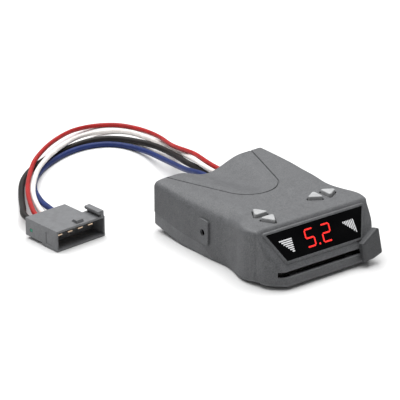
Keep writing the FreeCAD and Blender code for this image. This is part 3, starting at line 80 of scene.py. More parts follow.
class Nodes:
    """A material under construction: node tree, object coordinates and the principled shader."""

    def __init__(self, name, colour, rough, metallic=0.0, specular=0.5):
        self.material = bpy.data.materials.new(name)
        self.material.use_nodes = True
        self.tree = self.material.node_tree
        self.shader = self.tree.nodes["Principled BSDF"]
        self.shader.inputs["Base Color"].default_value = colour
        self.shader.inputs["Roughness"].default_value = rough
        self.shader.inputs["Metallic"].default_value = metallic
        self.shader.inputs["Specular IOR Level"].default_value = specular
        self.place = self.tree.nodes.new("ShaderNodeTexCoord").outputs["Object"]
        self.normal = None

    def link(self, source, target):
        self.tree.links.new(source, target)

    def stretched(self, stretch):
        """Object coordinates scaled differently along each axis."""
        mapping = self.tree.nodes.new("ShaderNodeMapping")
        mapping.inputs["Scale"].default_value = stretch
        self.link(self.place, mapping.inputs["Vector"])
        return mapping.outputs["Vector"]

    def noise(self, grain, detail=3.0, roughness=0.55, stretch=None):
        """Noise whose features are about grain millimetres across."""
        node = self.tree.nodes.new("ShaderNodeTexNoise")
        node.inputs["Scale"].default_value = 1 / (grain * MM)
        node.inputs["Detail"].default_value = detail
        node.inputs["Roughness"].default_value = roughness
        self.link(self.stretched(stretch) if stretch else self.place, node.inputs["Vector"])
        return node.outputs["Fac"]

    def cells(self, grain):
        """Distance in a cell pattern about grain millimetres across."""
        node = self.tree.nodes.new("ShaderNodeTexVoronoi")
        node.inputs["Scale"].default_value = 1 / (grain * MM)
        self.link(self.place, node.inputs["Vector"])
        return node.outputs["Distance"]

    def ramp(self, source, stops):
        """Colours or greys along a value."""
        node = self.tree.nodes.new("ShaderNodeValToRGB")
        elements = node.color_ramp.elements
        while len(elements) < len(stops):
            elements.new(0.5)
        for element, (position, colour) in zip(elements, stops):
            element.position = position
            element.color = colour if hasattr(colour, "__len__") else (colour, colour, colour, 1.0)
        self.link(source, node.inputs["Fac"])
        return node.outputs["Color"]

    def multiply(self, factor, first, second):
        """One colour darkened by a second, by as much as the factor says."""
        node = self.tree.nodes.new("ShaderNodeMix")
        node.data_type = "RGBA"
        node.blend_type = "MULTIPLY"
        node.inputs[0].default_value = factor
        self.link(first, node.inputs[6])
        self.link(second, node.inputs[7])
        return node.outputs[2]

    def paint(self, colour):
        self.link(colour, self.shader.inputs["Base Color"])

    def roughen(self, source, low, high):
        """Roughness between two values, following a pattern."""
        node = self.tree.nodes.new("ShaderNodeMapRange")
        node.inputs["To Min"].default_value = low
        node.inputs["To Max"].default_value = high
        self.link(source, node.inputs["Value"])
        self.link(node.outputs["Result"], self.shader.inputs["Roughness"])

    def bump(self, source, strength, height):
        """Bump of a height in millimetres, added to any bump already there."""
        node = self.tree.nodes.new("ShaderNodeBump")
        node.inputs["Strength"].default_value = strength
        node.inputs["Distance"].default_value = height * MM
        self.link(source, node.inputs["Height"])
        if self.normal:
            self.link(self.normal, node.inputs["Normal"])
        self.normal = node.outputs["Normal"]
        self.link(self.normal, self.shader.inputs["Normal"])

    def glow(self, colour, strength):
        self.shader.inputs["Emission Color"].default_value = colour
        self.shader.inputs["Emission Strength"].default_value = strength


MOTTLE = 5.0


def moulded(name, dark, light, rough, grain, height=0.05, specular=0.4):
    """Grained moulded plastic: fine spark-eroded texture with soft tonal mottling."""
    made = Nodes(name, light, rough, specular=specular)
    fine = made.noise(grain, 4.0, 0.65)
    broad = made.noise(MOTTLE, 3.0)
    speckle = made.ramp(fine, ((0.32, dark), (0.68, light)))
    drift = made.ramp(broad, ((0.3, 0.86), (0.7, 1.08)))
    made.paint(made.multiply(1.0, speckle, drift))
    made.roughen(broad, rough - 0.05, rough + 0.07)
    made.bump(fine, 0.55, height)
    made.bump(made.cells(grain * 1.6), 0.25, height * 0.8)
    return made


def metal(name, colour, rough, brushed=(1.0, 1.0, 1.0), grain=0.6):
    """Metal with fine drawn or plated texture."""
    made = Nodes(name, colour, rough, metallic=1.0)
    lines = made.noise(grain, 4.0, 0.6, brushed)
    darker = tuple(c * 0.78 for c in colour[:3]) + (1.0,)
    made.paint(made.ramp(lines, ((0.3, darker), (0.7, colour))))
    made.roughen(lines, rough - 0.07, rough + 0.1)
    made.bump(lines, 0.3, 0.02)
    return made


def sleeve(name, dark, light, rough):
    """Extruded vinyl insulation: slightly glossy, with faint lengthwise drift and scuffs."""
    made = Nodes(name, light, rough, specular=0.3)
    drift = made.noise(9.0, 3.0)
    scuff = made.noise(0.7, 5.0, 0.6)
    tone = made.ramp(drift, ((0.3, dark), (0.7, light)))
    wear = made.ramp(scuff, ((0.3, 0.82), (0.62, 1.0)))
    made.paint(made.multiply(0.75, tone, wear))
    made.roughen(scuff, rough - 0.06, rough + 0.14)
    made.bump(drift, 0.3, 0.12)
    made.bump(scuff, 0.3, 0.03)
    return made


case_finish = moulded("case_plastic", srgb(70, 71, 73), srgb(98, 99, 101), 0.56, 0.8)
lower_finish = moulded("lower_case_plastic", srgb(88, 89, 91), srgb(110, 111, 113), 0.58, 0.8)
key_finish = moulded("key_plastic", srgb(146, 147, 148), srgb(172, 173, 174), 0.5, 0.4, 0.03)
# The knob is the case's plastic painted darker: the darker grey is painted shade, standing in for the shade
# on its front face.
shaded_knob_finish = moulded("knob_plastic_painted_shade", srgb(56, 57, 59), srgb(74, 75, 77), 0.5, 0.8, 0.05)
plug_finish = moulded("plug_plastic", srgb(92, 93, 95), srgb(112, 113, 115), 0.45, 0.6, 0.03)
inner_black = moulded("inner_black_plastic", srgb(26, 26, 28), srgb(38, 38, 40), 0.5, 0.4, 0.03)
grommet_rubber = moulded("grommet_rubber", srgb(28, 28, 29), srgb(42, 42, 43), 0.7, 0.5, 0.04)
lock_finish = moulded("lock_plastic", srgb(20, 110, 84), srgb(34, 142, 110), 0.42, 0.4, 0.02)

red_sleeve = sleeve("red_insulation", srgb(142, 15, 14), srgb(168, 25, 23), 0.45)
white_sleeve = sleeve("white_insulation", srgb(214, 208, 204), srgb(238, 234, 230), 0.5)
blue_sleeve = sleeve("blue_insulation", srgb(14, 32, 82), srgb(22, 44, 104), 0.48)
black_sleeve = sleeve("black_insulation", srgb(16, 12, 12), srgb(28, 22, 21), 0.55)

# ---------------------------------------------------------------------------------------------
# Cords: each wire's points are its route in the CAD source
# ---------------------------------------------------------------------------------------------

PLUG_CORNER = Vector((-123.0, 75.0, 0.0))
PLUG_TURN = Matrix.Rotation(math.radians(5.0), 4, "Z")
ENTRY_HEIGHT = 8.6
PLUG_LONG = 35.0
ENTRY_RUN = 7.6

WIRES = {
    "red": {
        "node": "wire_red", "diameter": 3.5, "length": 418.2, "entry": 16.8, "finish": red_sleeve,
        "points": (
            (16.0, 69.5, 28.4), (16.0, 80.5, 28.4), (19.5, 95.5, 27.0), (26.0, 115.5, 24.2),
            (30.5, 133.0, 20.2), (35.5, 151.5, 15.6), (42.5, 170.0, 10.8), (52.0, 194.5, 6.4),
            (56.0, 217.5, 3.2), (54.8, 233.0, 1.75), (48.5, 245.5, 1.75), (37.5, 253.2, 1.75),
            (22.5, 254.5, 3.0), (3.5, 248.5, 5.6), (-22.0, 234.5, 7.2), (-41.5, 220.5, 7.2),
            (-54.5, 209.0, 7.2), (-66.0, 195.5, 7.2), (-80.5, 177.0, 7.2), (-91.0, 161.0, 7.2),
            (-98.8, 146.0, 7.4), (-104.6, 134.0, 8.0), (-108.2, 126.3, 8.5),
        ),
    },
    "white": {
        "node": "wire_white", "diameter": 3.6, "length": 388.1, "entry": 23.0, "finish": white_sleeve,
        "points": (
            (10.3, 69.5, 28.0), (10.3, 79.0, 28.0), (14.0, 91.5, 26.4), (20.0, 108.0, 23.2),
            (26.0, 122.0, 19.2), (33.5, 139.5, 14.4), (41.0, 155.5, 9.8), (47.5, 171.0, 5.6),
            (50.5, 188.5, 2.6), (50.8, 209.0, 1.8), (48.8, 223.0, 1.8), (43.5, 232.5, 1.8),
            (35.0, 238.3, 1.8), (22.0, 240.0, 3.0), (3.5, 235.0, 5.8), (-16.0, 225.5, 7.2),
            (-33.5, 215.5, 7.2), (-46.5, 206.5, 7.2), (-60.5, 194.5, 7.2), (-72.0, 181.0, 7.2),
            (-83.5, 166.0, 7.2), (-92.5, 150.0, 7.4), (-99.0, 135.0, 8.0), (-102.2, 126.0, 8.5),
        ),
    },
    "black": {
        "node": "wire_black", "diameter": 4.6, "length": 370.0, "entry": 9.3, "finish": black_sleeve,
        "points": (
            (12.6, 69.5, 23.0), (12.6, 77.5, 23.0), (15.0, 88.5, 21.8), (18.0, 102.0, 19.4),
            (22.5, 121.5, 16.2), (29.5, 139.0, 12.4), (36.0, 158.0, 8.6), (40.5, 183.0, 5.2),
            (39.0, 203.5, 2.8), (33.5, 216.5, 2.3), (25.5, 224.5, 2.3), (15.5, 229.0, 2.3),
            (1.0, 229.5, 2.3), (-20.0, 225.2, 2.3), (-44.0, 216.0, 2.3), (-62.0, 205.0, 2.3),
            (-76.5, 191.5, 2.3), (-90.0, 171.5, 2.4), (-99.5, 155.5, 3.6), (-107.0, 142.5, 5.8),
            (-113.0, 133.3, 7.6), (-116.3, 126.0, 8.4),
        ),
    },
    "blue": {
        "node": "wire_blue", "diameter": 4.2, "length": 334.4, "entry": 31.0, "finish": blue_sleeve,
        "points": (
            (3.6, 69.5, 26.4), (3.6, 76.0, 26.4), (4.5, 85.0, 24.8), (7.0, 97.5, 21.4),
            (12.0, 113.5, 17.2), (18.5, 133.0, 12.6), (24.5, 154.5, 8.2), (29.5, 180.0, 4.4),
            (29.0, 198.0, 2.4), (24.0, 210.0, 2.1), (15.5, 218.0, 2.1), (0.0, 222.5, 2.1),
            (-20.5, 219.6, 2.1), (-46.5, 207.0, 2.1), (-62.5, 194.0, 2.1), (-73.5, 180.0, 2.1),
            (-79.5, 169.0, 2.4), (-84.5, 157.0, 3.8), (-89.5, 145.8, 6.0), (-93.2, 136.0, 7.8),
            (-94.8, 127.5, 8.5),
        ),
    },
}


def at_plug(u, v, z):
    """A place given in the plug's own frame: u across from its left side, v back from its mouth."""
    return PLUG_CORNER + PLUG_TURN @ Vector((u, v, z))


def lay_wire(colour, facts):
    """One wire as a NURBS curve through the frame, from the grommet to the back of the plug."""
    route = [Vector(point) for point in facts["points"]]
    route += [at_plug(facts["entry"], PLUG_LONG + behind, ENTRY_HEIGHT) for behind in (ENTRY_RUN, 0.0)]
    curve = bpy.data.curves.new(f"{colour}_wire", "CURVE")
    curve.dimensions = "3D"
    curve.bevel_depth = facts["diameter"] / 2 * MM
    curve.bevel_resolution = 6
    curve.resolution_u = 10
    curve.use_fill_caps = True
    spline = curve.splines.new("NURBS")
    spline.points.add(len(route) - 1)
    for point, place in zip(spline.points, route):
        point.co = (*(place * MM), 1.0)
    spline.order_u = 3
    spline.use_endpoint_u = True
    curve.materials.append(facts["finish"].material)
    wire = bpy.data.objects.new(f"{colour}_wire", curve)
    bpy.context.scene.collection.objects.link(wire)
    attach(wire, "controller")
    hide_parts(facts["node"])
    return wire, route


wires = {colour: lay_wire(colour, facts) for colour, facts in WIRES.items()}

# ---------------------------------------------------------------------------------------------
# Mesh building
# ---------------------------------------------------------------------------------------------


def mesh_object(name, points, faces):
    """A mesh from points in millimetres, with its faces turned outwards."""
    mesh = bpy.data.meshes.new(name)
    mesh.from_pydata([tuple(c * MM for c in point) for point in points], [], faces)
    shaper = bmesh.new()
    shaper.from_mesh(mesh)
    bmesh.ops.recalc_face_normals(shaper, faces=shaper.faces)
    shaper.to_mesh(mesh)
    shaper.free()
    piece = bpy.data.objects.new(name, mesh)
    bpy.context.scene.collection.objects.link(piece)
    return piece


def loft(name, loops):
    """A closed solid through closed loops of equal length."""
    count = len(loops[0])
    faces = []
    for k in range(len(loops) - 1):
        low, high = k * count, (k + 1) * count
        for i in range(count):
            j = (i + 1) % count
            faces.append((low + i, low + j, high + j, high + i))
    last = (len(loops) - 1) * count
    faces.append(tuple(range(count)))
    faces.append(tuple(reversed(range(last, last + count))))
    return mesh_object(name, [point for loop in loops for point in loop], faces)


def combine(target, operation, tools):
    """Join or cut a solid with others, which are used up."""
    for tool in tools:
        step = target.modifiers.new(operation, "BOOLEAN")
        step.operation = operation
        step.solver = "MANIFOLD"
        step.object = tool
    shown = target.evaluated_get(bpy.context.evaluated_depsgraph_get())
    mesh = bpy.data.meshes.new_from_object(shown)
    target.modifiers.clear()
    target.data = mesh
    for tool in tools:
        bpy.data.objects.remove(tool)


SLIVER = 0.004


def clean(piece):
    """Merge what a boolean leaves doubled, and drop slivers."""
    shaper = bmesh.new()
    shaper.from_mesh(piece.data)
    bmesh.ops.remove_doubles(shaper, verts=shaper.verts, dist=SLIVER * MM)
    bmesh.ops.dissolve_degenerate(shaper, edges=shaper.edges, dist=SLIVER * MM)
    shaper.to_mesh(piece.data)
    shaper.free()


def finish(piece, body, made, nodes, angle):
    """Smooth shading, material and body for a finished piece, and the CAD nodes it replaces."""
    piece.data.materials.clear()
    piece.data.materials.append(made.material)
    for polygon in piece.data.polygons:
        polygon.material_index = 0
    piece.data.shade_smooth()
    piece.data.set_sharp_from_angle(angle=math.radians(angle))
    weighting = piece.modifiers.new("weighting", "WEIGHTED_NORMAL")
    weighting.keep_sharp = True
    weighting.weight = 80
    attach(piece, body)
    if nodes:
        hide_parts(*nodes)


def smooth(t):
    """An even ease from 0 to 1."""
    t = min(max(t, 0.0), 1.0)
    return t * t * (3 - 2 * t)


def stations(y, table):
    """A value that eases from station to station; the table runs from back to front."""
    if y >= table[0][0]:
        return table[0][1]
    for (back, behind), (front, ahead) in zip(table, table[1:]):
        if y >= front:
            return ahead + (behind - ahead) * smooth((y - front) / (back - front))
    return table[-1][1]


def soft_min(a, b, width):
    """The smaller of two numbers, rounded over where they are close."""
    near = max(width - abs(a - b), 0.0) / width
    return min(a, b) - near * near * width / 4


def rounded(corners, radius, steps=6):
    """A polygon with every corner rounded; a corner may carry its own radius."""
    points = []
    count = len(corners)
    for i, corner in enumerate(corners):
        here = Vector(corner[:2])
        size = corner[2] if len(corner) > 2 else radius
        to_last = (Vector(corners[i - 1][:2]) - here).normalized()
        to_next = (Vector(corners[(i + 1) % count][:2]) - here).normalized()
        half = to_last.angle(to_next) / 2
        centre = here + (to_last + to_next).normalized() * (size / math.sin(half))
        start = here + to_last * (size / math.tan(half)) - centre
        end = here + to_next * (size / math.tan(half)) - centre
        sweep = start.angle_signed(end)
        for k in range(steps + 1):
            turned = start.copy()
            turned.rotate(Matrix.Rotation(-sweep * k / steps, 2))
            points.append(centre + turned)
    return points


AXES = {"X": (1, 2, 0), "Y": (2, 0, 1), "Z": (0, 1, 2)}
EDGE_STEPS = 3


def placed(outline, level, axis):
    """A flat outline across an axis, put at a level along it."""
    a, b, c = AXES[axis]
    ring = []
    for across, up in outline:
        place = [0.0, 0.0, 0.0]
        place[a], place[b], place[c] = across, up, level
        ring.append(tuple(place))
    return ring


def upright(outline, y):
    """A flat outline seen from the front, put at a place along the case."""
    return [(point.x, y, point.y) for point in outline]


def framed(left, right, low, high, inset=0.0):
    """Corners of a rectangle, set in all round."""
    left, right, low, high = left + inset, right - inset, low + inset, high - inset
    return ((left, low), (right, low), (right, high), (left, high))


def block(low, high, radius, edge, axis="Z"):
    """Loops of a box with rounded corners, and with softly rounded ends along one axis."""
    a, b, c = AXES[axis]
    turns = [math.pi / 2 * k / EDGE_STEPS for k in range(EDGE_STEPS + 1)] if edge else [math.pi / 2]
    ends = []
    for turn in turns:
        ends.append((edge * (1 - math.sin(turn)), edge * (1 - math.cos(turn))))
    levels = [(inset, low[c] + rise) for inset, rise in ends]
    levels += [(inset, high[c] - rise) for inset, rise in reversed(ends)]
    loops = []
    for inset, level in levels:
        corners = framed(low[a], high[a], low[b], high[b], inset)
        loops.append(placed(rounded(corners, max(radius - inset, 0.05), 4), level, axis))
    return loops


def rod(centre, radius, start, end, axis="Z", count=48):
    """Loops of a round bar; centre is its place across the axis."""
    outline = []
    for k in range(count):
        turn = math.tau * k / count
        outline.append((centre[0] + radius * math.cos(turn), centre[1] + radius * math.sin(turn)))
    return [placed(outline, level, axis) for level in (start, end)]


# ---------------------------------------------------------------------------------------------
# The case's outside, as formulas
# ---------------------------------------------------------------------------------------------

LIP_FACE = -67.4
LIP_TOP = 10.9
BACK_FACE = 66.5
CASE_TOP = 39.5
LEAN = math.radians(33.7)
FACE_RISE = 1 / math.tan(LEAN)
PILLAR = -47.0
PILLAR_HALF = 50.5
CHEEK_SLOPE = 0.652
CHEEK_BULGE = 4.0
PILLAR_STEP, PILLAR_STEP_RUN = 1.5, 2.6
PILLAR_BLEND = 0.6
LIP_ROUND = 6.0
BACK_ROUND = 3.0
WALL = 1.9

# Each pair holds a place along the case and a value there, from back to front.
SHOULDER_DROP = ((66.0, 1.2), (17.0, 5.2), (-12.0, 6.2), (-36.0, 1.6), (-50.0, 1.0))
SHOULDER_WIDTH = ((66.0, 9.0), (12.0, 14.0), (-12.0, 16.0), (-36.0, 10.0), (-50.0, 8.0))
EDGE_ROUND = ((66.0, 3.0), (-28.0, 3.0), (-44.0, 2.0), (-50.5, 1.8), (-56.0, 2.4), (-63.0, 2.6), (-67.4, 2.2))
SHOULDER_POWER = 2.2
SHOULDER_LIMIT = 14.0
RIGHT_SHARE = 0.05
TILT, TILT_START, TILT_RUN = 0.03, -25.0, 80.0

SIDE_HALF = 47.2
FULL, FULL_START, FULL_RUN = 0.9, 14.0, 18.0
WAIST, WAIST_PLACE, WAIST_RUN = 1.9, -12.0, 12.0
FLARE, FLARE_PLACE, FLARE_RUN = 3.4, -38.5, 11.0


def swell(y, place, run):
    """A bell-shaped rise to 1 about a place along the case."""
    return math.exp(-(((y - place) / run) ** 2))


def flank(y):
    """Half width from the sides alone: fuller behind the pads, with a waist and a flare ahead."""
    full = FULL * smooth((y - FULL_START) / FULL_RUN)
    waist = WAIST * swell(y, WAIST_PLACE, WAIST_RUN)
    return SIDE_HALF + full - waist + FLARE * swell(y, FLARE_PLACE, FLARE_RUN)


def cheek(y):
    """Half width where the bulging cheeks run from the pillars in to the lip."""
    share = (PILLAR - y) / (PILLAR - LIP_FACE)
    bulge = CHEEK_BULGE * smooth(share / 0.5) * math.cos(math.pi / 2 * max(share - 0.5, 0.0) / 0.5)
    step = PILLAR_STEP * smooth((PILLAR - y) / PILLAR_STEP_RUN)
    return PILLAR_HALF + CHEEK_SLOPE * (y - PILLAR) - step + bulge


def quarter(radius, beyond):
    """How far a rounded corner has drawn in at a distance beyond its start."""
    return radius - math.sqrt(max(radius**2 - beyond**2, 0.0))


def half_width(y):
    """Half width of the case, with its back corners, pillars and lip corners."""
    wide = soft_min(flank(y), cheek(y), PILLAR_BLEND)
    corner = BACK_FACE - BACK_ROUND
    if y > corner:
        wide -= quarter(BACK_ROUND, y - corner)
    near = LIP_FACE + 1.2
    slope = (cheek(near + 0.3) - cheek(near - 0.3)) / 0.6
    along = Vector((slope, 1.0)).normalized()
    tangent = LIP_ROUND * math.tan(math.asin(along.y) / 2)
    foot = cheek(near) + slope * (LIP_FACE - near)
    if y < LIP_FACE + tangent * along.y:
        wide = foot - tangent + LIP_ROUND - quarter(LIP_ROUND, y - LIP_FACE - LIP_ROUND)
    return wide


def shoulder(x, y):
    """How far the top falls away towards the sides, less its tilt."""
    station = max(y, SHOULDER_DROP[-1][0])
    width = stations(station, SHOULDER_WIDTH)
    beyond = (abs(x) - flank(station) + width) / width
    drop = stations(station, SHOULDER_DROP) * (1.0 if x < 0 else RIGHT_SHARE)
    tilt = TILT * x * smooth((y - TILT_START) / TILT_RUN)
    return min(drop * max(beyond, 0.0) ** SHOULDER_POWER, SHOULDER_LIMIT) - tilt


NOSE_CENTRE, NOSE_RADIUS = 21.7, 22.0
SPLAY = math.radians(18.6)
SCOOP_DEEP, SCOOP_START, SCOOP_RUN = 7.6, 1.5, 65.0
SCOOP_WIDE = 0.78
FACE_BLEND, FACE_WALL = 2.4, 1.8
BACK_EDGE, BACK_EDGE_EASED = 3.0, 1.8


def crease_half(y):
    """Half width between the legs of the crease that bounds the hollow over the wires."""
    turning = NOSE_CENTRE + NOSE_RADIUS * math.sin(-SPLAY)
    if y < turning:
        return math.sqrt(max(NOSE_RADIUS**2 - (y - NOSE_CENTRE) ** 2, 0.0))
    return NOSE_RADIUS * math.cos(SPLAY) + (y - turning) * math.tan(SPLAY)


def scoop_share(x, y):
    """How much of the hollow's depth is left away from its middle."""
    wide = max(SCOOP_WIDE * crease_half(y), 0.1)
    return math.cos(math.pi / 2 * min(abs(x) / wide, 1.0)) ** 2


def scoop(x, y):
    """The hollow over the wires, deepest at the back."""
    share = min(max((y - SCOOP_START) / SCOOP_RUN, 0.0), 1.0)
    return SCOOP_DEEP * (1 - (1 - share) ** 1.5) * scoop_share(x, y)


def top_height(x, y, inset=0.0):
    """Height of the top and of the leaning display face, set in by a wall thickness."""
    flat = CASE_TOP - inset - shoulder(x, y) - scoop(x, y)
    face = LIP_TOP + FACE_RISE * (y - LIP_FACE) - inset * FACE_WALL
    height = soft_min(flat, face, FACE_BLEND)
    edge = BACK_EDGE - BACK_EDGE_EASED * scoop_share(x, y)
    start = BACK_FACE - edge
    if y > start and not inset:
        height -= quarter(edge, y - start)
    return height


REST_FRONT, REST_BACK = -30.0, 35.0
FRONT_LIFT, BACK_LIFT = 2.5, 5.43


def underside(y):
    """Height of the underside: flat in the middle, lifted under the lip and towards the back."""
    if y < PILLAR:
        return FRONT_LIFT
    if y < REST_FRONT:
        return FRONT_LIFT * (REST_FRONT - y) / (REST_FRONT - PILLAR)
    if y < REST_BACK:
        return 0.0
    return BACK_LIFT * (y - REST_BACK) / (BACK_FACE - REST_BACK)


SEAM_LOW, SEAM_RISE = 1.9, 6.8
SEAM_START, SEAM_END = -1.6, 12.0
SEAM_SLOPE, SEAM_CURVE = 0.045, 0.0014


def seam(y):
    """Height of the line where the two halves of the case meet."""
    if y < SEAM_START:
        return underside(y) + SEAM_LOW
    if y < SEAM_END:
        return SEAM_LOW + SEAM_RISE * smooth((y - SEAM_START) / (SEAM_END - SEAM_START))
    behind = y - SEAM_END
    return SEAM_LOW + SEAM_RISE + SEAM_SLOPE * behind + SEAM_CURVE * behind * behind


PANEL_DEEP = 0.75
PANEL_FRONT, PANEL_FRONT_RUN = -45.0, 0.9
PANEL_BACK, PANEL_BACK_RUN = -20.0, 9.0
PANEL_LOW, PANEL_LOW_RUN = 4.5, 4.0
ARCH_TOP, ARCH_CURVE, ARCH_PLACE, ARCH_RUN = 33.0, 0.035, -36.0, 3.5


def recess(y, z):
    """The shallow arched panel pressed into each side behind the pillars."""
    ahead = smooth((y - PANEL_FRONT) / PANEL_FRONT_RUN)
    behind = smooth((PANEL_BACK - y) / PANEL_BACK_RUN)
    arch = ARCH_TOP - ARCH_CURVE * (y - ARCH_PLACE) ** 2
    above = smooth((arch - z) / ARCH_RUN)
    below = smooth((z - PANEL_LOW) / PANEL_LOW_RUN)
    return PANEL_DEEP * ahead * behind * above * below


LIP_RUN, BACK_RUN = 7.2, 6.0
END_ROWS = 14
FINE_STEP, COARSE_STEP = 0.45, 1.3
FINE_FROM, FINE_TO = -53.0, -43.0


def rows(start, end):
    """Places along the case where its sections are taken, closer together where it turns."""
    turns = [math.pi / 2 * k / END_ROWS for k in range(END_ROWS + 1)]
    places = [start + LIP_RUN * (1 - math.cos(turn)) for turn in turns[:-1]]
    y = start + LIP_RUN
    while y < end - BACK_RUN:
        places.append(y)
        y += FINE_STEP if FINE_FROM < y < FINE_TO else COARSE_STEP
    return places + [end - BACK_RUN * (1 - math.sin(turn)) for turn in turns]


WALL_STEPS = 20
ARC_STEPS = 8
TOP_STEPS = 38


def upper_section(y, inset=0.0, drop=0.0):
    """Closed loop of the upper case at one place along it, from the left seam over to the right."""
    wide = half_width(y) - inset
    bottom = seam(y) - drop
    sides = []
    for side in (-1, 1):
        crest = top_height(side * wide, y, inset)
        radius = min(max(stations(y, EDGE_ROUND) - inset, 0.6), crest - bottom - 0.5)
        half = []
        for k in range(WALL_STEPS):
            z = bottom + (crest - radius - bottom) * k / WALL_STEPS
            half.append((side * (wide - (0.0 if inset else recess(y, z))), y, z))
        for k in range(ARC_STEPS):
            turn = math.pi / 2 * k / ARC_STEPS
            x = side * (wide - radius + radius * math.cos(turn))
            half.append((x, y, top_height(x, y, inset) - radius + radius * math.sin(turn)))
        for k in range(TOP_STEPS):
            x = side * (wide - radius) * (1 - k / TOP_STEPS)
            half.append((x, y, top_height(x, y, inset)))
        sides.append(half)
    left, right = sides
    return left + [(0.0, y, top_height(0.0, y, inset))] + right[::-1]


BOTTOM_ROUND, BOTTOM_STEPS = 1.4, 4


def lower_section(y, inset, floor=0.0, above=0.0):
    """Closed loop of the lower case: down the left wall, across the underside, up the right."""
    wide = half_width(y) - inset
    bottom = underside(y) + floor
    high = seam(y) + above
    radius = min(BOTTOM_ROUND, high - bottom - 0.2)
    half = [(wide, high - (high - bottom - radius) * k / BOTTOM_STEPS) for k in range(BOTTOM_STEPS)]
    for k in range(BOTTOM_STEPS + 1):
        turn = math.pi / 2 * k / BOTTOM_STEPS
        half.append((wide - radius + radius * math.cos(turn), bottom + radius - radius * math.sin(turn)))
    left = [(-x, y, z) for x, z in half]
    right = [(x, y, z) for x, z in reversed(half)]
    return left + right


def on_face(x, along, out):
    """A place on the leaning display face: up it from the lip, and out of it."""
    return (
        x,
        LIP_FACE + along * math.sin(LEAN) - out * math.cos(LEAN),
        LIP_TOP + along * math.cos(LEAN) + out * math.sin(LEAN),
    )


LENS_LOW, LENS_HIGH = 9.3, 29.5
LENS_LOW_HALF, LENS_HIGH_HALF = 32.1, 41.8
LENS_PROUD = 0.5


def window(grow, radius, out):
    """Loop of the lens's trapezium, grown all round, at a distance out of the face."""
    slope = (LENS_HIGH_HALF - LENS_LOW_HALF) / (LENS_HIGH - LENS_LOW)
    side = grow * math.hypot(1, slope)
    low, high = LENS_LOW - grow, LENS_HIGH + grow
    low_half = LENS_LOW_HALF - slope * grow + side
    high_half = LENS_HIGH_HALF + slope * grow + side
    corners = ((-low_half, low), (low_half, low), (high_half, high), (-high_half, high))
    return [on_face(point.x, point.y, out) for point in rounded(corners, radius, 5)]


BUTTONS = {
    "up": (-28.6, -30.9, 0.0),
    "down": (-28.6, -36.0, 180.0),
    "left": (23.0, -28.2, 90.0),
    "right": (28.7, -28.2, -90.0),
}
CAP_HALF, CAP_LONG, CAP_ROUND = 5.9, 9.9, 1.3
CAP_LOW, CAP_HIGH = 35.1, 41.9
FLANGE, FLANGE_TALL, FLANGE_ROUND = 1.1, 1.2, 0.6
CROWN, CROWN_STEPS = 0.75, 5
BASE_GROWTH, TIP_GROWTH = 1.76, 1.95


def triangle(name, grow, radius, z):
    """Loop of one button's rounded triangle, grown all round, at a height."""
    x, y, turn = BUTTONS[name]
    half = CAP_HALF + BASE_GROWTH * grow
    corners = ((-half, -grow), (half, -grow), (0.0, CAP_LONG + TIP_GROWTH * grow))
    spin = Matrix.Rotation(math.radians(turn), 2)
    loop = []
    for point in rounded(corners, radius, 7):
        place = spin @ point
        loop.append((x + place.x, y + place.y, z))
    return loop


BOSSES = ((-38.2, 50.0), (38.2, 50.0), (-38.2, -26.0), (38.2, -26.0))
POSTS = ((-14.0, -20.0), (5.0, -20.0))
STANDS = ((-26.0, -16.0), (26.0, -16.0), (-26.0, 46.0), (26.0, 46.0))

# ---------------------------------------------------------------------------------------------
# Upper case
# ---------------------------------------------------------------------------------------------

upper = loft("upper_shell", [upper_section(y) for y in rows(LIP_FACE, BACK_FACE)])

PAD_FRONT, PAD_BACK, PAD_LOW, PAD_HIGH = 2.4, 14.0, 10.4, 28.6
PAD_ROUND = 2.6
PAD_LEVELS = ((44.0, 0.0), (47.95, 0.0), (48.4, 0.18), (48.6, 0.6))
INSERT_PLACE = (8.4, 18.9)

pads = []
for side in (-1, 1):
    loops = []
    for reach, inset in PAD_LEVELS:
        corners = framed(PAD_FRONT, PAD_BACK, PAD_LOW, PAD_HIGH, inset)
        loops.append(placed(rounded(corners, PAD_ROUND - inset, 7), side * reach, "X"))
    pads.append(loft("pad", loops))
# Each level of the rim, the lens and its recess: growth, corner radius and distance out of the face.
RIM_LEVELS = (
    (2.6, 2.0, -2.0), (2.1, 1.8, 0.2), (1.75, 1.6, 0.62),
    (1.3, 1.4, 0.84), (0.8, 1.2, 0.9), (-2.0, 0.6, 0.9),
)
rim = loft("rim", [window(*level) for level in RIM_LEVELS])
combine(upper, "UNION", pads + [rim])

cavity = loft("cavity", [upper_section(y, WALL, 4.0) for y in rows(LIP_FACE + WALL, BACK_FACE - WALL)])
combine(upper, "DIFFERENCE", [cavity])

BOSS_RADIUS, BOSS_HOLE, BOSS_HIGH = 3.6, 1.5, 33.5
POST_RADIUS, POST_LOW, POST_HIGH = 2.5, 27.3, 37.5
SCREW_HOLE = 1.25
SEAT_MIDDLE, SEAT_HALF, SEAT_LOW, SEAT_HIGH = 41.0, 5.0, 11.5, 26.5

ribs = [loft("boss", rod(place, BOSS_RADIUS, seam(place[1]) + 0.1, BOSS_HIGH)) for place in BOSSES]
ribs += [loft("post", rod(place, POST_RADIUS, POST_LOW, POST_HIGH)) for place in POSTS]
for side in (-1, 1):
    near = (side * SEAT_MIDDLE - SEAT_HALF, PAD_FRONT, SEAT_LOW)
    far = (side * SEAT_MIDDLE + SEAT_HALF, PAD_BACK, SEAT_HIGH)
    ribs.append(loft("seat", block(near, far, 1.0, 0.0, "X")))
combine(upper, "UNION", ribs)

RECESS_LEVELS = ((0.08, 0.55, 5.0), (0.08, 0.55, -1.12))
WINDOW_LEVELS = ((-1.3, 0.5, 5.0), (-1.3, 0.5, -8.0))
cutters = [
    loft("lens_recess", [window(*level) for level in RECESS_LEVELS]),
    loft("lens_window", [window(*level) for level in WINDOW_LEVELS]),
]

SLOT_HALF, SLOT_LOW, SLOT_HIGH = 40.6, 9.3, 13.0
SLOT_FLARE = 0.55

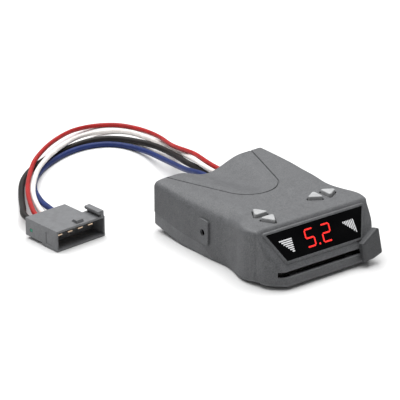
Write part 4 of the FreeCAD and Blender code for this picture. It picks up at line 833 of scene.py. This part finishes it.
slot_loops = []
for grow, ahead in ((SLOT_FLARE, 8.6), (SLOT_FLARE, 0.1), (0.0, -0.5), (0.0, -12.0)):
    reach = SLOT_HALF + grow
    corners = framed(-reach, reach, SLOT_LOW - grow * 0.5, SLOT_HIGH + grow * 0.2)
    slot_loops.append(upright(rounded(corners, 0.5, 3), LIP_FACE - ahead))
cutters.append(loft("slot", slot_loops))

KEY_GAP, KEY_GAP_WIDER = 0.75, 1.1
key_levels = (
    (KEY_GAP, 1.5, 34.0), (KEY_GAP, 1.5, CASE_TOP - 0.4),
    (KEY_GAP_WIDER, 1.7, CASE_TOP + 0.05), (KEY_GAP_WIDER, 1.7, 44.0),
)
for name in BUTTONS:
    cutters.append(loft("key_hole", [triangle(name, *level) for level in key_levels]))

PAD_HOLE, PAD_HOLE_WIDER, INSERT_ROOM = 2.45, 2.9, 3.32
PAST_PAD = 52.0
for side in (-1, 1):
    cutters.append(loft("pad_hole", rod(INSERT_PLACE, PAD_HOLE, side * 36.5, side * PAST_PAD, "X")))
    narrow = rod(INSERT_PLACE, PAD_HOLE, side * 47.6, side * PAST_PAD, "X")[0]
    wider = rod(INSERT_PLACE, PAD_HOLE_WIDER, side * 47.6, side * 48.3, "X")[1]
    cutters.append(loft("pad_flare", [narrow, wider]))
    cutters.append(loft("insert_room", rod(INSERT_PLACE, INSERT_ROOM, side * 38.7, side * 46.85, "X")))
for place in BOSSES:
    cutters.append(loft("boss_hole", rod(place, BOSS_HOLE, -2.0, 21.0, count=24)))
for place in POSTS:
    cutters.append(loft("post_hole", rod(place, SCREW_HOLE, 25.0, 33.7, count=24)))
opening = rounded(((0.0, 19.2), (19.2, 19.2), (19.2, 31.4), (0.0, 29.2)), 0.05, 2)
cutters.append(loft("wire_opening", [upright(opening, y) for y in (60.0, 72.0)]))

# The crease is a round nose between two straight legs that run apart to the back.
NOSE_STEPS, LEG_STEP, LEG_STEPS = 26, 1.6, 34
GROOVE = ((-0.8, 0.6), (-0.22, -0.85), (0.22, -0.85), (0.8, 0.6))

nose = []
for k in range(-NOSE_STEPS, NOSE_STEPS + 1):
    turn = (math.pi / 2 - SPLAY) * k / NOSE_STEPS
    nose.append(Vector((NOSE_RADIUS * math.sin(turn), NOSE_CENTRE - NOSE_RADIUS * math.cos(turn))))
along_leg = Vector((math.sin(SPLAY), math.cos(SPLAY))) * LEG_STEP
legs = [nose[-1] + along_leg * k for k in range(1, LEG_STEPS + 1)]
legs = [point for point in legs if point.y < BACK_FACE - 0.1]
crease = [Vector((-point.x, point.y)) for point in reversed(legs)] + nose + legs
groove = []
for i, point in enumerate(crease):
    ahead = crease[min(i + 1, len(crease) - 1)] - crease[max(i - 1, 0)]
    across = Vector((ahead.y, -ahead.x)).normalized()
    z = top_height(point.x, point.y)
    ring = []
    for offset, rise in GROOVE:
        spot = point + across * offset
        ring.append((spot.x, spot.y, z + rise))
    groove.append(ring)
# Each end runs on out through the back, lower down.
left_tail = [(x - 1.0, y + 2.6, z - 2.0) for x, y, z in groove[0]]
right_tail = [(x + 1.0, y + 2.6, z - 2.0) for x, y, z in groove[-1]]
cutters.append(loft("crease", [left_tail, *groove, right_tail]))
combine(upper, "DIFFERENCE", cutters)
clean(upper)
finish(upper, "controller", case_finish, ["upper_case"], 28.0)

# ---------------------------------------------------------------------------------------------
# Lower case
# ---------------------------------------------------------------------------------------------

INSET = 0.45
TRAY_WALL, TRAY_FLOOR = 2.4, 2.0
STAND_RADIUS, STAND_HIGH = 3.0, 11.95
REST_PLACES, REST_HALF = (-24.0, 24.0), 3.0
SHAFT_HOLE, HEAD_HOLE = 1.6, 3.0
FRONT_SEAT, BACK_SEAT = 1.25, 3.8

lower_rows = rows(LIP_FACE + INSET, BACK_FACE - INSET)
lower = loft("lower_shell", [lower_section(y, INSET) for y in lower_rows])
tray_rows = rows(LIP_FACE + TRAY_WALL, BACK_FACE - TRAY_WALL)
tray = loft("tray", [lower_section(y, INSET + WALL, TRAY_FLOOR, 6.0) for y in tray_rows])
combine(lower, "DIFFERENCE", [tray])
stands = [loft("stand", rod(place, STAND_RADIUS, 0.8, STAND_HIGH)) for place in STANDS]
stands += [loft("column", rod(place, BOSS_RADIUS, 3.0, seam(place[1]) - 0.05)) for place in BOSSES[:2]]
for x in REST_PLACES:
    stands.append(loft("rest", block((x - REST_HALF, -60.0, 1.4), (x + REST_HALF, -51.5, 7.38), 0.4, 0.0)))
combine(lower, "UNION", stands)
holes = []
for x, y in BOSSES:
    seat = FRONT_SEAT if y < 0 else BACK_SEAT
    holes.append(loft("shaft_hole", rod((x, y), SHAFT_HOLE, seat - 0.5, 20.0, count=24)))
    holes.append(loft("head_hole", rod((x, y), HEAD_HOLE, seat - 9.0, seat)))
for place in STANDS:
    holes.append(loft("stand_hole", rod(place, SCREW_HOLE, 3.4, 14.0, count=24)))
combine(lower, "DIFFERENCE", holes)
clean(lower)
finish(lower, "controller", lower_finish, ["lower_case"], 28.0)

# ---------------------------------------------------------------------------------------------
# Buttons
# ---------------------------------------------------------------------------------------------

for name in BUTTONS:
    levels = [(FLANGE, FLANGE_ROUND, CAP_LOW), (FLANGE, FLANGE_ROUND, CAP_LOW + FLANGE_TALL)]
    levels += [(0.0, CAP_ROUND, CAP_LOW + FLANGE_TALL), (0.0, CAP_ROUND, CAP_HIGH - CROWN)]
    for k in range(1, CROWN_STEPS + 1):
        turn = math.pi / 2 * k / CROWN_STEPS
        inset = CROWN * (1 - math.cos(turn))
        levels.append((-inset, CAP_ROUND - inset * 0.6, CAP_HIGH - CROWN + CROWN * math.sin(turn)))
    levels.append((-2.2, 0.6, CAP_HIGH - 0.08))
    cap = loft(f"{name}_key", [triangle(name, *level) for level in levels])
    finish(cap, f"{name}_key", key_finish, [f"{name}_button"], 40.0)

# ---------------------------------------------------------------------------------------------
# Display
# ---------------------------------------------------------------------------------------------

lens_finish = Nodes("lens_black", srgb(6, 6, 7), 0.2, specular=0.08)
blacks = ((0.3, srgb(2, 2, 3)), (0.7, srgb(8, 8, 9)))
lens_finish.paint(lens_finish.ramp(lens_finish.noise(14.0), blacks))
lens_finish.roughen(lens_finish.noise(3.0, 4.0), 0.14, 0.28)

digit_finish = Nodes("lit_segment", srgb(214, 30, 26), 0.5)
reds = ((0.3, srgb(196, 22, 20)), (0.7, srgb(230, 40, 36)))
digit_finish.paint(digit_finish.ramp(digit_finish.noise(1.2), reds))
digit_finish.glow(srgb(235, 38, 32), 0.9)

print_finish = Nodes("white_print", srgb(226, 227, 228), 0.5)
whites = ((0.25, srgb(205, 206, 208)), (0.6, srgb(238, 238, 239)))
print_finish.paint(print_finish.ramp(print_finish.noise(0.6, 4.0), whites))

LENS_LEVELS = ((0.0, 0.5, -1.08), (0.0, 0.5, 0.3), (-0.08, 0.45, 0.43), (-0.28, 0.4, LENS_PROUD))
lens = loft("lens_panel", [window(*level) for level in LENS_LEVELS])
finish(lens, "controller", lens_finish, ["display_lens"], 30.0)


def inlay(name, shapes, made):
    """Thin plates on the front of the lens, joined into one piece."""
    points, faces = [], []
    for corners, radius in shapes:
        base = rounded(corners, radius, 3)
        first = len(points)
        count = len(base)
        for grow, out in ((0.0, LENS_PROUD - 0.06), (0.0, LENS_PROUD + 0.05), (0.05, LENS_PROUD + 0.08)):
            middle = sum(base, Vector((0.0, 0.0))) / count
            for point in base:
                inward = (middle - point).normalized() * grow
                points.append(on_face(point.x + inward.x, point.y + inward.y, out))
        for level in (0, count):
            for i in range(count):
                j = (i + 1) % count
                low, high = first + level, first + level + count
                faces.append((low + i, low + j, high + j, high + i))
        faces.append(tuple(range(first, first + count)))
        faces.append(tuple(reversed(range(first + 2 * count, first + 3 * count))))
    finish(mesh_object(name, points, faces), "controller", made, (), 40.0)


DIGIT_LOW, DIGIT_TALL, DIGIT_WIDE, STROKE = 13.2, 12.8, 7.9, 1.08
SLANT = 0.11
DOT_HALF = 0.68
SEGMENTS = {
    "top": ((0.0, 1.0), (1.0, 1.0)),
    "middle": ((0.0, 0.5), (1.0, 0.5)),
    "bottom": ((0.0, 0.0), (1.0, 0.0)),
    "upper_left": ((0.0, 1.0), (0.0, 0.5)),
    "upper_right": ((1.0, 1.0), (1.0, 0.5)),
    "lower_left": ((0.0, 0.5), (0.0, 0.0)),
    "lower_right": ((1.0, 0.5), (1.0, 0.0)),
}
LIT = {
    "five": (-8.0, ("top", "upper_left", "middle", "lower_right", "bottom")),
    "two": (6.1, ("top", "upper_right", "middle", "lower_left", "bottom")),
}


def bar(start, end, wide, gap):
    """Corners of a segment with pointed ends between two places."""
    along = (end - start).normalized()
    across = Vector((-along.y, along.x)) * wide / 2
    first, last = start + along * gap, end - along * gap
    shy = along * wide * 0.42
    return (first, first + shy - across, last - shy - across, last, last - shy + across, first + shy + across)


segments = []
for middle, names in LIT.values():
    for name in names:
        ends = []
        for share_x, share_y in SEGMENTS[name]:
            high = DIGIT_LOW + STROKE / 2 + share_y * (DIGIT_TALL - STROKE)
            wide = (share_x - 0.5) * (DIGIT_WIDE - STROKE)
            ends.append(Vector((middle + wide + SLANT * (high - DIGIT_LOW - DIGIT_TALL / 2), high)))
        segments.append((bar(*ends, STROKE, 0.12), 0.1))
left, low = -1.7 - DOT_HALF, DIGIT_LOW + 0.6 - DOT_HALF
segments.append((framed(left, left + 2 * DOT_HALF, low, low + 2 * DOT_HALF), 0.55))
inlay("digits", segments, digit_finish)

# Two wedges of seven bars: level bars that shorten downwards, and upright bars that grow rightwards.
BAR, BAR_ROUND, BAR_COUNT = 0.86, 0.12, 7

bars = []
for k in range(BAR_COUNT):
    low = 22.5 - 1.42 * k
    high = low + BAR
    right = -22.6 - 0.1 * k
    left = right - (10.4 - 1.42 * k)
    bars.append((((left, low), (right, low), (right, high), (left - 0.25, high)), BAR_ROUND))
for k in range(BAR_COUNT):
    left = 21.6 + 1.4 * k
    right = left + BAR
    high = 23.0
    low = high - (1.2 + 1.32 * k)
    bars.append((((left, low), (right, low - 0.3), (right, high), (left, high)), BAR_ROUND))
inlay("level_marks", bars, print_finish)

# ---------------------------------------------------------------------------------------------
# Knob
# ---------------------------------------------------------------------------------------------

KNOB_FOOT = Vector((27.2, -70.05, 4.3))
knob_turn = Matrix.Rotation(math.radians(3.0), 4, "Z") @ Matrix.Rotation(math.radians(78.0), 4, "X")
# Corners of the knob's plate and their radii, from its lower left round to its upper left.
KNOB_OUTLINE = (
    (0.0, 0.0, 1.1), (9.5, 0.5, 6.0), (17.6, 2.6, 1.2),
    (17.0, 19.9, 0.9), (14.6, 20.3, 1.0), (0.3, 13.0, 0.9),
)
KNOB_MIDDLE, KNOB_REACH = Vector((9.2, 8.6)), 9.0
KNOB_WEDGE = 0.14
# How far each loop of the plate is set in, and its depth from the back of the plate.
KNOB_LEVELS = (
    (0.35, 0.0), (0.1, 0.12), (0.0, 0.4), (0.0, 1.7), (0.12, 2.05),
    (0.45, 2.4), (0.95, 2.66), (1.6, 2.78), (4.5, 2.62),
)


def knob_loop(inset, depth):
    """Loop of the knob's plate, set in from its outline, at a depth from its back."""
    corners = []
    for x, y, radius in KNOB_OUTLINE:
        away = Vector((x, y)) - KNOB_MIDDLE
        spot = KNOB_MIDDLE + away * (1 - inset / KNOB_REACH)
        corners.append((spot.x, spot.y, radius))
    loop = []
    for point in rounded(corners, 1.0, 6):
        behind = KNOB_WEDGE * max(point.y, 0.0) if depth < 1.0 else 0.0
        place = KNOB_FOOT + knob_turn @ Vector((point.x, point.y, depth - behind))
        loop.append(tuple(place))
    return loop


knob = loft("slide_knob", [knob_loop(*level) for level in KNOB_LEVELS])
HUB_NEAR, HUB_FAR = (29.0, -71.0, 9.85), (35.0, -66.4, 12.05)
hub = loft("hub", block(HUB_NEAR, HUB_FAR, 0.4, 0.2, "Y"))
combine(knob, "UNION", [hub])
clean(knob)
finish(knob, "manual_slide", shaded_knob_finish, ["manual_knob"], 34.0)

# ---------------------------------------------------------------------------------------------
# Plug
# ---------------------------------------------------------------------------------------------


def plug_loft(name, loops):
    """A solid given in the plug's own frame, put where the plug lies."""
    return loft(name, [[tuple(at_plug(*point)) for point in loop] for loop in loops])


# The plug's body, with a wing on its right that carries the rail, and a catch on top.
PLUG_WIDE, PLUG_TALL = 35.5, 15.5
WING_LEFT, WING_RIGHT, WING_LONG = 33.0, 43.0, 15.5
RAIL_WALL, RAIL_CAP, RAIL_RIGHT = 39.4, 37.0, 42.2
RAIL_START, RAIL_END = 0.02, WING_LONG - 0.02
CATCH_LOW, CATCH_HIGH = 15.0, 17.5

housing = plug_loft("plug_shell", block((0.0, 0.0, 0.0), (PLUG_WIDE, PLUG_LONG, PLUG_TALL), 0.7, 0.5, "Y"))
lugs = [
    plug_loft("wing", block((WING_LEFT, 0.0, 0.0), (WING_RIGHT, WING_LONG, PLUG_TALL), 0.7, 0.5, "Y")),
    plug_loft("rail_wall", block((RAIL_WALL, RAIL_START, 12.0), (RAIL_RIGHT, RAIL_END, 19.0), 0.6, 0.4, "Y")),
    plug_loft("rail_cap", block((RAIL_CAP, RAIL_START, 17.3), (RAIL_RIGHT, RAIL_END, 19.9), 0.9, 0.5, "Y")),
]
catch_foot = placed(framed(19.5, 25.5, 1.5, 8.5), CATCH_LOW, "Z")
catch_top = placed(framed(19.6, 25.4, 2.4, 5.9), CATCH_HIGH, "Z")
lugs.append(plug_loft("catch", [catch_foot, catch_top]))
combine(housing, "UNION", lugs)
rooms = [
    plug_loft("mouth", block((1.3, -3.0, 1.5), (41.7, 13.0, 14.0), 0.6, 0.0, "Y")),
    plug_loft("step", block((-3.0, 16.5, -4.0), (40.0, 40.0, 2.4), 0.5, 0.0, "Y")),
    plug_loft("lock_window", block((-2.0, 27.0, 6.2), (35.0, 30.0, 8.8), 0.3, 0.0, "X")),
    plug_loft("side_panel", block((-2.0, 5.2, 3.2), (0.28, 12.2, 12.2), 0.5, 0.0, "X")),
]
combine(housing, "DIFFERENCE", rooms)
clean(housing)
finish(housing, "controller", plug_finish, ["plug_housing"], 34.0)

# ---------------------------------------------------------------------------------------------
# CAD nodes that stay, with their materials
# ---------------------------------------------------------------------------------------------

steel = metal("steel", srgb(150, 150, 152), 0.35)
plated = metal("plated_steel", srgb(196, 196, 192), 0.28)
# Steel painted near black for the pad inserts: the dark colour is painted shade, standing in for the darkness
# inside the pad holes.
shaded_insert_steel = metal("insert_steel_painted_shade", srgb(34, 34, 36), 0.45)
aluminium = metal("aluminium", srgb(176, 178, 182), 0.38, (1.0, 1.0, 6.0))
blade_metal = metal("tinned_brass", srgb(222, 196, 168), 0.3, (1.0, 0.2, 1.0))
board = moulded("circuit_board", srgb(12, 62, 36), srgb(22, 88, 52), 0.35, 0.9, 0.03, 0.5)
relay_finish = moulded("relay_blue", srgb(34, 78, 150), srgb(52, 98, 172), 0.4, 0.5, 0.02)
ribbon_finish = moulded("ribbon_grey", srgb(150, 152, 156), srgb(176, 178, 182), 0.45, 0.6, 0.02)
chip_finish = moulded("chip_black", srgb(20, 20, 22), srgb(34, 34, 36), 0.55, 0.3, 0.02)
can_finish = moulded("can_sleeve", srgb(18, 20, 30), srgb(32, 36, 50), 0.35, 0.5, 0.02)
plunger_finish = moulded("plunger_plastic", srgb(34, 34, 36), srgb(48, 48, 50), 0.45, 0.4, 0.02)
lead_finish = Nodes("lead_insulation", srgb(120, 60, 58), 0.45)
lead_colours = (
    (0.1, srgb(44, 70, 150)), (0.55, srgb(228, 224, 218)), (0.7, srgb(44, 36, 35)), (0.92, srgb(196, 38, 34)),
)
tint = lead_finish.ramp(lead_finish.stretched((60.0, 0.0, 0.0)), lead_colours)
wear = lead_finish.ramp(lead_finish.noise(0.8), ((0.3, 0.8), (0.7, 1.0)))
lead_finish.paint(lead_finish.multiply(0.6, tint, wear))

NODE_FINISH = {
    "case_screws": steel,
    "mount_inserts": shaded_insert_steel,
    "display_module": chip_finish,
    "display_board": board,
    "keypad_board": board,
    "keypad_screws": steel,
    "key_switches": inner_black,
    "slider_carriage": inner_black,
    "slide_pot_body": plated,
    "guide_rod": steel,
    "return_spring": steel,
    "spring_pin": steel,
    "main_board": board,
    "board_screws": steel,
    "microcontroller": chip_finish,
    "motion_sensor": chip_finish,
    "relay": relay_finish,
    "capacitors": can_finish,
    "heat_sink": aluminium,
    "power_transistors": chip_finish,
    "ribbon_cable": ribbon_finish,
    "plug_blades": blade_metal,
    "terminal_lock": lock_finish,
    "wire_grommet": grommet_rubber,
    "inner_leads": lead_finish,
}
NODE_FINISH.update({f"{name}_plunger": plunger_finish for name in BUTTONS})
for name, made in NODE_FINISH.items():
    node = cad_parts[name]
    node.data.materials.clear()
    node.data.materials.append(made.material)

# ---------------------------------------------------------------------------------------------
# Floor and light
# ---------------------------------------------------------------------------------------------

FLOOR_HALF = 3000.0
FLOOR_GREY = (0.72, 0.72, 0.72, 1.0)

floor_corners = placed(framed(-FLOOR_HALF, FLOOR_HALF, -FLOOR_HALF, FLOOR_HALF), 0.0, "Z")
floor = mesh_object("floor", floor_corners, [(0, 1, 2, 3)])
floor_finish = Nodes("floor_white", FLOOR_GREY, 0.9, specular=0.1)
floor.data.materials.append(floor_finish.material)

world = bpy.data.worlds.new("studio")
world.use_nodes = True
world.node_tree.nodes["Background"].inputs["Color"].default_value = (1.0, 1.0, 1.0, 1.0)
world.node_tree.nodes["Background"].inputs["Strength"].default_value = 0.25
bpy.context.scene.world = world


def softbox(name, place, aim, width, height, power):
    """A rectangular studio light that faces a point."""
    data = bpy.data.lights.new(name, "AREA")
    data.shape = "RECTANGLE"
    data.size = width
    data.size_y = height
    data.energy = power
    lamp = bpy.data.objects.new(name, data)
    lamp.location = place
    lamp.rotation_euler = (Vector(place) - Vector(aim)).to_track_quat("Z", "Y").to_euler()
    bpy.context.scene.collection.objects.link(lamp)


softbox("overhead", (0.05, 0.45, 1.5), (0.0, 0.1, 0.0), 2.2, 2.2, 64.0)
softbox("left_side", (-1.6, 0.3, 0.9), (0.0, 0.0, 0.02), 0.9, 0.9, 1.6)

bpy.context.scene.view_settings.view_transform = "Standard"
